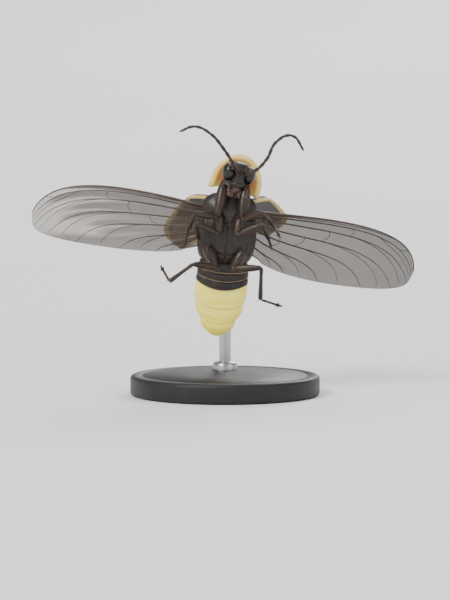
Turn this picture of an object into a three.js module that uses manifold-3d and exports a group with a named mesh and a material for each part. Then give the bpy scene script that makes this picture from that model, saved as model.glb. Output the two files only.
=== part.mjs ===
// A firefly in flight, life size, held over a small display stand by one bent rod.
// Millimetres, +Z up. The insect's underside faces -Y and its head is up, so +X is its left side.
// Each piece of the insect is built in the body's own frame: X across, +Y towards the back, +Z towards
// the head, zero at the tip of the tail. The whole is then leaned and rolled into its flying pose.
import * as THREE from "three";
import { mergeVertices } from "three/addons/utils/BufferGeometryUtils.js";
import Module from "manifold-3d";

const wasm = await Module();
wasm.setup();

// Driving dimensions
const GAP = 0.28; // air between one piece and the next
const PLATE = 0.55; // thinnest shell or membrane
const HOOD_BASE = 15.1; // where the fore body meets the middle body, up from the tail
const HOOD_LENGTH = 3.75;
const HOOD_WIDTH = 5.1;
const HOOD_CREST = 1.85; // the hood's top over the body's axis
const HOOD_RIM = 1.3; // and its rim before it slopes down
const HOOD_CORNER = 0.5; // how far its hind corners reach back past its hind edge
const TRUNK_WIDTH = 5.8;
const TRUNK_RISE = 1.5; // axis to back
const TRUNK_DROP = 1.7; // axis to breast
const TRUNK_SPLIT = 12.6; // between the two rings that carry the wings
const WAIST = 8.1; // front of the abdomen, up from the tail
const EYE = new THREE.Vector3(0.63, 0.8, 0.9); // half sizes of one eye
const EYE_SPREAD = 1.08;
const WING_LENGTH = 17.5;
const WING_ROOT = 3.9; // width of the hind wing where it leaves the trunk
const WING_FRONT = 1.9; // the share of that width before the wing's axis
const VEIN_RISE = 0.17;
const VEIN_HALF = 0.17;
const ELYTRON_LENGTH = 14.2;
const ELYTRON_WIDTH = 3.6;
const ELYTRON_ARCH = 0.75;
const FEELER_THICK = 0.27; // half thickness at the base
const BASE_RADIUS = 9.5;
const BASE_THICK = 2;
const ROD_RADIUS = 0.6;
const ROD_BACK = 5.2; // the rod's foot behind the base's middle
const TAIL_CLEARANCE = 3.5; // from the stand's top to the tail

// Pose
const degrees = THREE.MathUtils.degToRad;
const LEAN = degrees(10); // the head leans forward from upright
const ROLL = degrees(6); // and to the insect's left
const HOOD_TURN = degrees(9);
const HOOD_SHIFT = 0.25; // the fore body stands this far to the insect's left
const HEAD_TURN = degrees(13);
const PIVOT = 9; // the height along the body that stays over the stand's middle

const vec = (x, y, z) => new THREE.Vector3(x, y, z);
const mix = THREE.MathUtils.lerp;
const ease = THREE.MathUtils.smoothstep;
const bump = (t, middle, half) => Math.max(0, 1 - ((t - middle) / half) ** 2);

// Colours and finishes
function finish(color, roughness, metalness = 0) {
  return new THREE.MeshStandardMaterial({ color, roughness, metalness });
}

const BLACK_SHELL = finish(0x1b1512, 0.42);
const BROWN_LEG = finish(0x2a1c14, 0.45);
const EYE_BLACK = finish(0x0b0b0d, 0.15);
const ROSY_SHIELD = finish(0xd98f6a, 0.4);
const WING_CASE = finish(0x2b211b, 0.5);
const MEMBRANE = finish(0x6d6258, 0.35);
const LANTERN = finish(0xf6f09a, 0.4);
const STAND_BLACK = finish(0x2c2c2e, 0.4);
const STEEL = finish(0xb9bcc0, 0.3, 1);

// Making and joining solids

function volumeOf(geometry) {
  const { position } = geometry.attributes;
  const [a, b, c] = [vec(), vec(), vec()];
  let six = 0;
  for (let i = 0; i < geometry.index.count; i += 3) {
    a.fromBufferAttribute(position, geometry.index.getX(i));
    b.fromBufferAttribute(position, geometry.index.getX(i + 1));
    c.fromBufferAttribute(position, geometry.index.getX(i + 2));
    six += a.dot(b.cross(c));
  }
  return six / 6;
}

// A three.js shape with every vertex moved by place, closed up and facing outwards.
function moulded(shape, place) {
  const bare = shape.clone();
  const { position } = bare.attributes;
  const at = vec();
  for (let i = 0; i < position.count; i += 1) {
    at.fromBufferAttribute(position, i);
    position.setXYZ(i, ...place(at).toArray());
  }
  bare.deleteAttribute("normal");
  bare.deleteAttribute("uv");
  const closed = mergeVertices(bare, 1e-4);
  if (volumeOf(closed) < 0) {
    closed.index.array.reverse();
  }
  return closed;
}

function toSolid(geometry) {
  return new wasm.Manifold(
    new wasm.Mesh({
      numProp: 3,
      vertProperties: new Float32Array(geometry.attributes.position.array),
      triVerts: new Uint32Array(geometry.index.array),
    }),
  );
}

function toGeometry(solid) {
  const mesh = solid.getMesh();
  const geometry = new THREE.BufferGeometry();
  geometry.setAttribute("position", new THREE.BufferAttribute(mesh.vertProperties, 3));
  geometry.setIndex(new THREE.BufferAttribute(mesh.triVerts, 1));
  return geometry;
}

// Joins the pieces, cuts the tools away and keeps the largest closed body.
function fused(pieces, tools = []) {
  let solid = pieces.map(toSolid).reduce((all, piece) => all.add(piece));
  for (const tool of tools) {
    solid = solid.subtract(toSolid(tool));
  }
  const bodies = solid.decompose();
  bodies.sort((a, b) => b.volume() - a.volume());
  return toGeometry(bodies[0]);
}

// Shapes

// How far the ring at i of count moves along so that its body grows at both ends.
const endShift = (i, count, grow) => (i === 0 ? -grow : i === count - 1 ? grow : 0);

// A closed skin through a row of rings, each with a centre and a point for every angle round it.
function loft(rings, sides) {
  const last = rings.length - 1;
  const tube = new THREE.CylinderGeometry(1, 1, last, sides, last);
  return moulded(tube, (p) => {
    const ring = rings[Math.round(last / 2 - p.y)];
    return Math.hypot(p.x, p.z) > 0.5 ? ring.point(Math.atan2(p.x, p.z)) : ring.centre;
  });
}

// One cross-section of the body. square is 2 for an oval and more for a boxier shape, bow carries the two
// sides towards the head, and pinch narrows the belly side.
function section(z, width, rise, drop, { x = 0, y = 0, square = 2.3, bow = 0, pinch = 0 } = {}) {
  const swell = (s) => Math.sign(s) * Math.abs(s) ** (2 / square);
  return {
    centre: vec(x, y + (rise - drop) / 2, z),
    point: (angle) => {
      const across = swell(Math.sin(angle));
      const up = swell(Math.cos(angle));
      const half = width * (1 - pinch * ease(-up, 0.1, 0.9));
      return vec(x + across * half, y + up * (up > 0 ? rise : drop), z + bow * across ** 2);
    },
  };
}

// A limb along a path. Each station is [share of the path, half width, half thickness].
function limb(path, stations, sides, { grow = 0, broad = vec(1, 0, 0) } = {}) {
  const rings = stations.map(([t, width, thick = width]) => {
    const along = path.getTangent(t);
    const centre = path.getPoint(t).addScaledVector(along, (t === 1 ? grow : 0) - (t === 0 ? grow : 0));
    const thin = vec().crossVectors(along, broad).normalize();
    const wide = vec().crossVectors(thin, along).normalize();
    return {
      centre,
      point: (angle) =>
        centre
          .clone()
          .addScaledVector(wide, Math.sin(angle) * (width + grow))
          .addScaledVector(thin, Math.cos(angle) * (thick + grow)),
    };
  });
  return loft(rings, sides);
}

const straight = (from, to) => new THREE.LineCurve3(from, to);

// A sheet with a top and a bottom face split alike, closed by a rim. Both faces take shares (u, v).
function sheet(across, along, top, bottom) {
  const plane = new THREE.PlaneGeometry(1, 1, across, along);
  const { position } = plane.attributes;
  const count = position.count;
  const points = [];
  for (const face of [top, bottom]) {
    for (let i = 0; i < count; i += 1) {
      points.push(...face(position.getX(i) + 0.5, position.getY(i) + 0.5).toArray());
    }
  }
  const faces = [];
  const grid = Array.from(plane.index.array);
  for (let i = 0; i < grid.length; i += 3) {
    const [a, b, c] = grid.slice(i, i + 3);
    faces.push(a, b, c, c + count, b + count, a + count);
  }
  const row = across + 1;
  const rim = [];
  for (let i = 0; i < across; i += 1) {
    rim.push([i, i + 1], [along * row + i + 1, along * row + i]);
  }
  for (let j = 0; j < along; j += 1) {
    rim.push([(j + 1) * row, j * row], [j * row + across, (j + 1) * row + across]);
  }
  for (const [a, b] of rim) {
    faces.push(a, b, b + count, a, b + count, a + count);
  }
  const geometry = new THREE.BufferGeometry();
  geometry.setAttribute("position", new THREE.Float32BufferAttribute(points, 3));
  geometry.setIndex(faces);
  return geometry;
}

// Trunk and abdomen: each takes how much to grow, so that a neighbour can be cut clear of it

// A ring of the trunk. Each station is [height up the body, then shares of the width, rise and drop].
function trunkRing(stations, grow) {
  const rings = stations.map(([z, wide, rise, drop], i) =>
    section(
      z + endShift(i, stations.length, grow),
      (wide * TRUNK_WIDTH) / 2 + grow,
      rise * TRUNK_RISE + grow,
      drop * TRUNK_DROP + grow,
    ),
  );
  return loft(rings, 28);
}

// The hind ring of the trunk, the widest, which carries the hind wings.
function metathorax(grow = 0) {
  const stations = [
    [WAIST + GAP / 2, 0.8, 0.74, 0.8],
    [WAIST + 0.5, 0.93, 0.88, 0.95],
    [WAIST + 1.6, 1, 1, 1],
    [WAIST + 2.9, 1, 1, 1],
    [TRUNK_SPLIT - 0.55, 0.95, 0.98, 0.94],
    [TRUNK_SPLIT - GAP / 2, 0.84, 0.9, 0.82],
  ];
  return trunkRing(stations, grow);
}

// The middle ring, which carries the wing cases.
function mesothorax(grow = 0) {
  const top = HOOD_BASE - 0.45;
  const stations = [
    [TRUNK_SPLIT + GAP / 2, 0.86, 0.9, 0.8],
    [TRUNK_SPLIT + 0.6, 0.95, 0.97, 0.88],
    [TRUNK_SPLIT + 1.2, 0.97, 0.95, 0.78],
    [top - 0.35, 0.9, 0.86, 0.62],
    [top, 0.74, 0.7, 0.48],
  ];
  return trunkRing(stations, grow);
}

// The three-cornered plate between the roots of the wing cases.
function scutellum() {
  const widths = [
    [TRUNK_SPLIT + 0.3, 0.12],
    [TRUNK_SPLIT + 0.9, 0.55],
    [TRUNK_SPLIT + 1.5, 0.85],
  ];
  const rings = widths.map(([z, wide]) => section(z, wide, 0.3, 0.6, { y: TRUNK_RISE - 0.08 }));
  return loft(rings, 12);
}

// Two low ridges down each side of the back of the trunk, with a valley between them.
function backRidges() {
  const sizes = [
    [WAIST + 0.7, 0.2, 0.1],
    [WAIST + 1.5, 0.5, 0.22],
    [WAIST + 2.9, 0.65, 0.26],
    [TRUNK_SPLIT - 0.5, 0.4, 0.12],
  ];
  return [-1, 1].map((side) => {
    const place = { x: side * 0.85, y: TRUNK_RISE - 0.12 };
    return loft(sizes.map(([z, wide, rise]) => section(z, wide, rise, 0.5, place)), 12);
  });
}

// The abdomen's rings, front to tail. The light organ fills the underside of the last three.
const RINGS = [
  { from: WAIST - GAP / 2, to: 6.95, half: 2.42, rise: 1.1, drop: 1.25, bow: 0 },
  { from: 6.95, to: 6.05, half: 2.52, rise: 1.08, drop: 1.2, bow: 0.25 },
  { from: 6.05, to: 5.15, half: 2.56, rise: 1, drop: 1.15, bow: 0.5 },
  { from: 5.15, to: 3.15, half: 2.6, rise: 0.9, drop: 1.08, bow: 0.75 },
  { from: 3.15, to: 1.65, half: 2.4, rise: 0.75, drop: 1, bow: 0.45 },
  { from: 1.65, to: 0.5, half: 1.78, rise: 0.5, drop: 0.82, bow: 0.45 },
];
const TAIL = { half: 0.78, bow: 0.25 };
const LIT = 3; // the first ring with a light organ
const LIT_FLOOR = 0.12; // how far the back's own plates reach below the axis there

// The back plates run the whole length, each behind edge standing over the next. The belly plates stop
// at the light organ, where only a thin floor is left.
function abdomen(grow = 0) {
  const tuck = 0.1;
  const lap = 0.03;
  const rings = RINGS.flatMap(({ from, to, half, rise, drop, bow }, i) => {
    const after = RINGS[i + 1] ?? TAIL;
    const lit = i >= LIT;
    const ring = (z, halfHere, less, bowHere) => {
      const depth = lit ? LIT_FLOOR : drop - less;
      const shape = { square: lit ? 2.6 : 2.3, bow: bowHere };
      return section(z, halfHere + grow, rise - less + grow, depth + grow, shape);
    };
    const frontShift = i === 0 ? grow : i === LIT ? -grow : 0;
    const hindShift = i === LIT - 1 || i === RINGS.length - 1 ? -grow : 0;
    const hindHalf = Math.min(half, mix(half, after.half, 0.6)) - 0.02;
    return [
      ring(from - lap + frontShift, half - tuck, tuck, bow),
      ring(mix(from, to, 0.45), half, 0, mix(bow, after.bow, 0.45)),
      ring(to + lap + hindShift, hindHalf, 0.02, after.bow),
    ];
  });
  return loft(rings, 28);
}

// One belly plate of the light organ, flat above and full below, with bowed front and hind edges.
function lanternPlate(i) {
  const { from, to, half, drop, bow } = RINGS[i];
  const after = RINGS[i + 1] ?? TAIL;
  const front = i === LIT ? from : from - GAP * 0.6;
  const hind = i === RINGS.length - 1 ? to - 0.25 : to + GAP * 0.6;
  const shares = [
    [0, 0.93, 0.78],
    [0.12, 0.98, 0.94],
    [0.5, 1, 1],
    [0.85, 0.97, 0.93],
    [1, 0.93, 0.74],
  ];
  const rings = shares.map(([t, wide, deep]) => {
    const width = (mix(half, after.half, t ** 2.2) + 0.04) * wide;
    const shape = { y: -LIT_FLOOR - GAP, square: 2.5, bow: mix(bow, after.bow, t) };
    return section(mix(front, hind, t), width, 0.02, deep * (drop - GAP), shape);
  });
  return fused([loft(rings, 28)], [abdomen(GAP)]);
}

// Fore body: built about its own zero, where it meets the trunk, then set in the body

const FORE_FRAME = new THREE.Matrix4().makeRotationY(HOOD_TURN).setPosition(HOOD_SHIFT, 0, HOOD_BASE);
const HEAD_AT = vec(-0.12, -0.58, 2.1); // the middle of the skull
const HEAD_IN_FORE = new THREE.Matrix4().makeRotationZ(HEAD_TURN).setPosition(HEAD_AT);
const HEAD_FRAME = FORE_FRAME.clone().multiply(HEAD_IN_FORE);

// Outline of the hood: a round arch in front, nearly square behind.
function hoodEdge(angle) {
  const [side, front] = [Math.sin(angle), Math.cos(angle)];
  const square = front > 0 ? 1.85 : 5;
  const reach = (Math.abs(side) ** square + Math.abs(front) ** square) ** (-1 / square);
  const widest = HOOD_LENGTH * 0.22;
  const length = front > 0 ? HOOD_LENGTH - widest : widest;
  const behind = Math.max(0, -front);
  const across = side * reach * (1 + 0.05 * behind);
  const corner = HOOD_CORNER * Math.abs(across) ** 4 * ease(behind, 0, 0.5);
  return vec((across * HOOD_WIDTH) / 2, 0, widest + front * reach * length - corner);
}

// The hood's upper face: a dome with a shallow middle groove, sloping to a rim that turns up a little.
function hoodTop(share, angle) {
  const edge = hoodEdge(angle);
  const dome = (HOOD_CREST - HOOD_RIM) * (1 - ease(share, 0.15, 0.92));
  const behind = Math.max(0, -Math.cos(angle)) ** 2;
  const slope = 0.62 * share ** 2 * mix(1, 0.2, behind);
  const groove = 0.08 * bump(edge.x * share, 0, 0.35) * (1 - share);
  const y = HOOD_RIM + dome - slope - groove + 0.12 * ease(share, 0.9, 1);
  return vec(edge.x * share, y, mix(HOOD_LENGTH * 0.3, edge.z, share));
}

// The hood is a ball pressed flat: its latitude becomes the share of the way out to the edge.
function pronotum(grow = 0) {
  const middle = HOOD_LENGTH * 0.4;
  const ball = new THREE.SphereGeometry(1, 32, 14);
  const hood = moulded(ball, (p) => {
    const share = Math.asin(Math.min(1, Math.hypot(p.x, p.z))) / (Math.PI / 2);
    const at = hoodTop(share, Math.atan2(p.x, p.z));
    const thick = PLATE * mix(1.35, 1, ease(share, 0.3, 0.8));
    const above = p.y > -1e-6;
    at.x *= 1 + (2 * grow) / HOOD_WIDTH;
    at.y += above ? grow : -thick - grow;
    at.z += (share * grow * (at.z - middle)) / middle;
    return at;
  });
  return hood.applyMatrix4(FORE_FRAME);
}

// The breast of the fore body, under the hood, from the mesothorax to the neck.
function breast(grow = 0) {
  const stations = [
    [-0.15, 1.4, 0.7, 0.8],
    [0.15, 1.6, 0.95, 0.95],
    [0.5, 1.55, 1.05, 0.75],
    [0.95, 1.35, 0.95, 0.35],
    [1.4, 1.0, 0.75, 0.1],
  ];
  const rings = stations.map(([z, wide, rise, drop], i) =>
    section(z + endShift(i, stations.length, grow), wide + grow, rise + grow, drop + grow, { y: -0.05 }),
  );
  return loft(rings, 22).applyMatrix4(FORE_FRAME);
}

function prothorax() {
  const eyes = [-1, 1].map((side) => eyeball(side, GAP).applyMatrix4(HEAD_FRAME));
  const head = skull(GAP * 1.4).applyMatrix4(HEAD_FRAME);
  return fused([breast()], [pronotum(GAP * 1.6), head, ...eyes, mesothorax(GAP)]);
}

// Head: its own zero is the middle of the skull

function eyeball(side, grow = 0) {
  const middle = vec(side * EYE_SPREAD, -0.27, 0.02);
  const half = EYE.clone().addScalar(grow);
  return moulded(new THREE.SphereGeometry(1, 18, 10), (p) => p.clone().multiply(half).add(middle));
}

// Crown, cheeks and the muzzle that narrows down to the mouth.
function skull(grow = 0) {
  const stations = [
    [-1.65, 0.4, -0.05, 0.88],
    [-1.5, 0.52, 0.05, 0.98],
    [-1.15, 0.72, 0.3, 1.05],
    [-0.8, 0.98, 0.6, 1.08],
    [-0.4, 1.2, 0.9, 1.1],
    [0.1, 1.25, 0.95, 1.08],
    [0.6, 1.15, 0.85, 0.95],
    [0.98, 0.8, 0.62, 0.62],
    [1.12, 0.35, 0.4, 0.35],
  ];
  const thinnest = 0.05;
  const rings = stations.map(([z, wide, rise, drop], i) => {
    const above = Math.max(thinnest, rise) + grow;
    const face = { y: Math.min(0, rise - thinnest), pinch: 0.36 * ease(z, -1.1, -0.3) };
    return section(z + endShift(i, stations.length, grow), wide + grow, above, drop + grow, face);
  });
  return loft(rings, 20);
}

const SOCKET_LIP = 0.12; // how far the feelers' sockets stand out
const socket = (side) => vec(side * 0.36, -1.0, 0.35);

function socketRim(side) {
  const inner = socket(side).add(vec(0, 0.4, 0));
  const outer = socket(side).add(vec(0, -SOCKET_LIP, 0));
  return limb(straight(inner, outer), [[0, 0.33], [1, 0.3]], 12);
}

// Jaws: two short hooks that cross under the lip.
function jaw(side) {
  const path = new THREE.QuadraticBezierCurve3(
    vec(side * 0.33, -0.72, -1.45),
    vec(side * 0.46, -0.92, -1.95),
    vec(side * -0.06, -1.02 - 0.1 * side, -2.2),
  );
  return limb(path, [[0, 0.2], [0.4, 0.17], [0.8, 0.1], [1, 0.04]], 7);
}

function upperLip() {
  const stations = [
    [-1.05, 0.35, 0.28],
    [-1.45, 0.42, 0.32],
    [-1.8, 0.34, 0.24],
    [-1.92, 0.2, 0.14],
  ];
  return loft(stations.map(([z, wide, drop]) => section(z, wide, 0.1, drop, { y: -0.82 })), 12);
}

function headShell() {
  const pieces = [skull(), upperLip()];
  for (const side of [-1, 1]) {
    pieces.push(socketRim(side), jaw(side));
  }
  return fused(pieces, [eyeball(-1, GAP), eyeball(1, GAP)]);
}

// Stations of a jointed limb: each joint is widest near its far end. lengths are shares of the whole.
function beads(lengths, thick, end) {
  const whole = lengths.reduce((sum, length) => sum + length);
  const stations = [];
  let start = 0;
  lengths.forEach((length, i) => {
    const width = mix(thick, end, i / (lengths.length - 1));
    const at = (share) => (start + share * length) / whole;
    stations.push([at(i ? 0.05 : 0), width * 0.7], [at(0.8), width]);
    start += length;
  });
  stations.push([1, end * 0.4]);
  return stations;
}

// Feelers of eleven joints: a long first, a short second, then like ones.
const FEELER_JOINTS = [1.5, 0.6, 1, 1, 1, 1, 1, 1, 1, 1, 1.1];
const FEELER_TIP = 0.2;

const FEELER_PATHS = {
  [-1]: [
    vec(-1.05, -2.0, 0.95),
    vec(-2.7, -2.3, 2.5),
    vec(-4.5, -2.1, 3.75),
    vec(-6.0, -1.7, 4.0),
    vec(-7.3, -1.4, 3.1),
  ],
  [1]: [
    vec(1.0, -1.9, 0.95),
    vec(1.9, -1.75, 2.3),
    vec(2.5, -1.3, 4.1),
    vec(4.0, -0.8, 5.0),
    vec(5.85, -0.3, 3.65),
  ],
};

function feeler(side) {
  const root = socket(side).add(vec(side * 0.08, -SOCKET_LIP - GAP - 0.14, 0.08));
  const path = new THREE.CatmullRomCurve3([root, ...FEELER_PATHS[side]], false, "centripetal");
  return limb(path, beads(FEELER_JOINTS, FEELER_THICK, FEELER_TIP), 6, { broad: vec(0, 1, 0) });
}

// Short three-jointed palps beside the jaws.
function palp(side) {
  const path = new THREE.QuadraticBezierCurve3(
    vec(side * 0.82, -1.1, -1.3),
    vec(side * 0.98, -1.65, -1.5),
    vec(side * 0.7, -1.6, -2.2),
  );
  return limb(path, beads([0.8, 0.8, 1.3], 0.25, 0.25), 6);
}

// Legs

// Lengths of thigh, shank and foot, and the thigh's half thickness.
const LEG_SIZES = {
  fore: { thigh: 2.9, shank: 2.8, foot: 2.0, thick: 0.4 },
  mid: { thigh: 3.3, shank: 3.0, foot: 2.1, thick: 0.41 },
  hind: { thigh: 3.4, shank: 3.65, foot: 2.3, thick: 0.43 },
};

// The root and tip of each hip in the body, then knee, ankle and toe as seen from the front, [x, z], and
// whether each part runs towards the viewer (-1) or away (+1).
const LEG_POSES = {
  fore_right: {
    root: vec(-0.65, -0.6, 15.0),
    hip: vec(-1.15, -2.1, 12.95),
    seen: [[-3.5, 12.6], [-3.85, 11.0], [-4.1, 9.3]],
    ways: [-1, 1, -1],
  },
  mid_right: {
    root: vec(-0.9, -1.25, 12.15),
    hip: vec(-0.6, -2.35, 11.2),
    seen: [[-3.3, 11.6], [-2.9, 10.1], [-2.45, 9.4]],
    ways: [-1, 1, -1],
  },
  hind_right: {
    root: vec(-1.35, -1.35, 9.1),
    hip: vec(-0.55, -2.2, 7.85),
    seen: [[-3.15, 7.35], [-5.25, 5.3], [-6.1, 6.6]],
    ways: [-1, 1, 1],
  },
  fore_left: {
    root: vec(1.05, -0.55, 15.0),
    hip: vec(1.15, -2.1, 12.95),
    seen: [[3.1, 13.3], [4.25, 12.35], [4.95, 11.2]],
    ways: [-1, 1, -1],
  },
  mid_left: {
    root: vec(0.9, -1.25, 12.15),
    hip: vec(0.6, -2.35, 11.2),
    seen: [[3.35, 12.1], [4.1, 10.9], [4.35, 10.0]],
    ways: [-1, 1, -1],
  },
  hind_left: {
    root: vec(1.35, -1.35, 9.1),
    hip: vec(0.55, -2.2, 7.85),
    seen: [[3.75, 7.75], [3.95, 4.4], [5.9, 4.0]],
    ways: [-1, 1, 1],
  },
};
const SLOPE_SEEN = 0.26; // what stands this much nearer the viewer looks one lower

// The next joint of a leg: seen at [x, z], and as far towards the viewer or away as its length leaves.
function reach(from, [x, z], length, way) {
  const lift = z - from.z;
  const a = 1 + SLOPE_SEEN ** 2;
  const b = from.y + SLOPE_SEEN * lift;
  const c = (x - from.x) ** 2 + from.y ** 2 + lift ** 2 - length ** 2;
  const y = (b + way * Math.sqrt(Math.max(0, b ** 2 - a * c))) / a;
  return vec(x, y, z - SLOPE_SEEN * y);
}

const towards = (from, to, distance) => from.clone().add(to.clone().sub(from).setLength(distance));

function coxa(root, hip, grow = 0) {
  const stations = [[0, 0.6], [0.35, 0.58], [0.75, 0.45], [0.92, 0.34], [1, 0.2]];
  return limb(straight(root, hip), stations, 12, { grow });
}

// The thigh with the small ring at its root.
function thigh(hip, knee, thick, grow = 0) {
  const stations = [
    [0, 0.24],
    [0.05, 0.32],
    [0.13, 0.33],
    [0.2, 0.27],
    [0.45, thick],
    [0.65, thick * 0.95],
    [0.93, thick * 0.7],
    [1, thick * 0.45],
  ];
  return limb(straight(hip, towards(knee, hip, 0.2)), stations, 8, { grow });
}

// The shank, a little bowed and widest at its end.
function shank(knee, ankle, grow = 0) {
  const middle = knee.clone().lerp(ankle, 0.5).add(vec(0, -0.15, 0));
  const path = new THREE.QuadraticBezierCurve3(knee, middle, towards(ankle, knee, 0.15));
  const stations = [[0, 0.14], [0.05, 0.25], [0.3, 0.25], [0.7, 0.27], [0.95, 0.3], [1, 0.22]];
  return limb(path, stations, 8, { grow });
}

// Five foot joints and a pair of claws.
function foot(ankle, toe) {
  const along = toe.clone().sub(ankle).normalize();
  const joints = limb(straight(ankle, toe), beads([1.5, 1.1, 0.9, 0.8, 1.2], 0.26, 0.25), 6);
  const side = vec().crossVectors(along, vec(0, 1, 0.3)).normalize();
  const claws = [-1, 1].map((way) => {
    const path = new THREE.QuadraticBezierCurve3(
      towards(toe, ankle, 0.12),
      toe.clone().addScaledVector(side, way * 0.3).addScaledVector(along, 0.15),
      toe.clone().addScaledVector(side, way * 0.22).addScaledVector(along, 0.48),
    );
    return limb(path, [[0, 0.13], [0.5, 0.11], [1, 0.03]], 5);
  });
  return fused([joints, ...claws]);
}

// The four pieces of one leg, each cut clear of the one before it.
function leg(name) {
  const { root, hip, seen, ways } = LEG_POSES[name];
  const size = LEG_SIZES[name.split("_")[0]];
  const knee = reach(hip, seen[0], size.thigh, ways[0]);
  const ankle = reach(knee, seen[1], size.shank, ways[1]);
  const toe = reach(ankle, seen[2], size.foot, ways[2]);
  return {
    coxa: fused([coxa(root, hip)], [breast(GAP), mesothorax(GAP), metathorax(GAP), abdomen(GAP)]),
    femur: fused([thigh(hip, knee, size.thick)], [coxa(root, hip, GAP)]),
    tibia: fused([shank(knee, ankle)], [thigh(hip, knee, size.thick, GAP)]),
    tarsus: fused([foot(ankle, toe)], [shank(knee, ankle, GAP)]),
  };
}

// Hind wings: drawn flat, with the span along x and the leading edge at +y

const flat = (x, y) => new THREE.Vector2(x, y);

// The margin behind the tip, from the tip round to the root.
const WING_MARGIN = new THREE.SplineCurve([
  flat(WING_LENGTH, 0),
  flat(WING_LENGTH * 0.965, -1.65),
  flat(WING_LENGTH * 0.8, -2.65),
  flat(WING_LENGTH * 0.48, -3.35),
  flat(WING_LENGTH * 0.24, -3.4),
  flat(WING_LENGTH * 0.1, -3.05),
]);
const VEINS = [0, 0.075, 0.165, 0.31, 0.46, 0.62, 0.8, 1]; // where the main veins lie across the fan
const WING_STATIONS = 11;

// One line of the fan, from the root to the margin: q is 0 along the leading edge and 1 along the last.
function wingLine(q) {
  const root = flat(0, WING_FRONT - WING_ROOT * q);
  const end = WING_MARGIN.getPoint(q);
  const length = root.distanceTo(end);
  const arm = (angle, size) => flat(size, 0).rotateAround(flat(0, 0), degrees(angle));
  const edge = (1 - q) ** 8; // 1 on the leading edge, which bends round into the tip
  const leaving = arm(mix(9.5, -58, q ** 1.25), length * 0.38);
  const arriving = arm(mix(-56, -66, q) - 22 * edge, -length * (mix(0.35, 0.28, q) - 0.06 * edge));
  return new THREE.CubicBezierCurve(root, root.clone().add(leaving), end.clone().add(arriving), end);
}

// The lines across the fan: a vein's crest with a foot on each side, and one line between two veins.
function wingLines() {
  const last = VEINS.length - 1;
  return VEINS.flatMap((q, i) => {
    const before = i > 0 ? [{ q, foot: -1, crest: 0 }] : [];
    const between = mix(q, VEINS[i + 1] ?? q, 0.5);
    const after = i < last ? [{ q, foot: 1, crest: 0 }, { q: between, foot: 0, crest: 0 }] : [];
    return [...before, { q, foot: 0, crest: i % last ? 1 : 0.7 }, ...after];
  });
}

// Height of the wing's middle surface: it lifts towards the tip, is arched from front to back and is
// softly pleated near the root.
function wingArch(x, y) {
  const along = x / WING_LENGTH;
  const lift = 1.5 * along ** 2;
  const arch = 0.035 * (y - 0.4) ** 2 * (1 - 0.4 * along);
  const pleats = 0.12 * Math.sin(y * 2.1) * (1 - along);
  return lift - arch + pleats;
}

function wingPoint(line, curve, station, face) {
  const at = curve.getPoint(station);
  const across = curve.getTangent(station).rotateAround(flat(0, 0), -Math.PI / 2);
  const spread = VEIN_HALF * (station < 0.12 ? 0.6 : 1);
  at.addScaledVector(across, line.foot * spread);
  const vein = line.crest * VEIN_RISE * (1 - 0.35 * station ** 3);
  const membrane = PLATE / 2 - 0.03 - 0.05 * station ** 4;
  return vec(at.x, at.y, wingArch(at.x, at.y) + face * (membrane + vein));
}

// A hind wing, swept back, lifted at the tip and twisted so that its leading edge dips.
function wing(side, { sweep, lift, twist }) {
  const lines = wingLines();
  const curves = lines.map(({ q }) => wingLine(q));
  const face = (which) => (u, v) => {
    const i = Math.round(u * (lines.length - 1));
    return wingPoint(lines[i], curves[i], v ** 0.9, which);
  };
  const blade = sheet(lines.length - 1, WING_STATIONS - 1, face(1), face(-1));
  const turn = new THREE.Matrix4()
    .makeRotationY(sweep)
    .multiply(new THREE.Matrix4().makeRotationZ(lift))
    .multiply(new THREE.Matrix4().makeRotationX(-twist));
  const root = vec(TRUNK_WIDTH / 2 - 0.35, 0.62, 11.35);
  // span, leading edge and upper face become the body's x, z and y
  const placed = moulded(blade, (p) => {
    const at = vec(p.x, p.z, p.y).applyMatrix4(turn).add(root);
    return vec(side * at.x, at.y, at.z);
  });
  return fused([placed], [metathorax(GAP), mesothorax(GAP)]);
}

// Wing cases: u runs across from the outer edge to the seam, v from the shoulder to the tip

function elytronPoint(u, v, face) {
  const along = 1 - (1 - v) ** 1.3; // closer rows towards the tip
  const full = Math.max(0.03, 1 - Math.max(0, (along - 0.7) / 0.3) ** 2.4); // less towards the tip
  const round = Math.sqrt(full);
  const shoulder = mix(0.62, 1, ease(along, 0, 0.16));
  const width = ELYTRON_WIDTH * round * shoulder * (1 + 0.05 * bump(along, 0.55, 0.4));
  const seam = ELYTRON_WIDTH * (0.5 - 0.25 * (1 - shoulder) - 0.25 * (1 - round));
  const arch = ELYTRON_ARCH * (1 - (2 * u - 1) ** 4) * full * mix(0.5, 1, ease(along, 0, 0.2));
  const flange = -0.16 * bump(u, 0, 0.12) * full;
  const ridged = ease(along, 0.05, 0.2) * (1 - ease(along, 0.7, 0.95));
  const ridges = face > 0 ? 0.09 * ridged * (bump(u, 0.35, 0.09) + bump(u, 0.62, 0.09)) : 0;
  const droop = -0.5 * along ** 2;
  const height = arch + flange + ridges + droop + (face * PLATE) / 2;
  return vec(width * (1 - u) - seam, height, -along * ELYTRON_LENGTH);
}

// A wing case, swung out from the body's line and raised over the back.
function wingCase(side, { open, raise }) {
  const blade = sheet(10, 12, (u, v) => elytronPoint(u, v, 1), (u, v) => elytronPoint(u, v, -1));
  const turn = new THREE.Matrix4().makeRotationY(-open).multiply(new THREE.Matrix4().makeRotationX(raise));
  const hinge = vec(2.1, TRUNK_RISE + 0.1, 13.75);
  const placed = moulded(blade, (p) => {
    const at = p.clone().applyMatrix4(turn).add(hinge);
    return vec(side * at.x, at.y, at.z);
  });
  return fused([placed], [metathorax(GAP), mesothorax(GAP)]);
}

// Display stand

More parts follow.
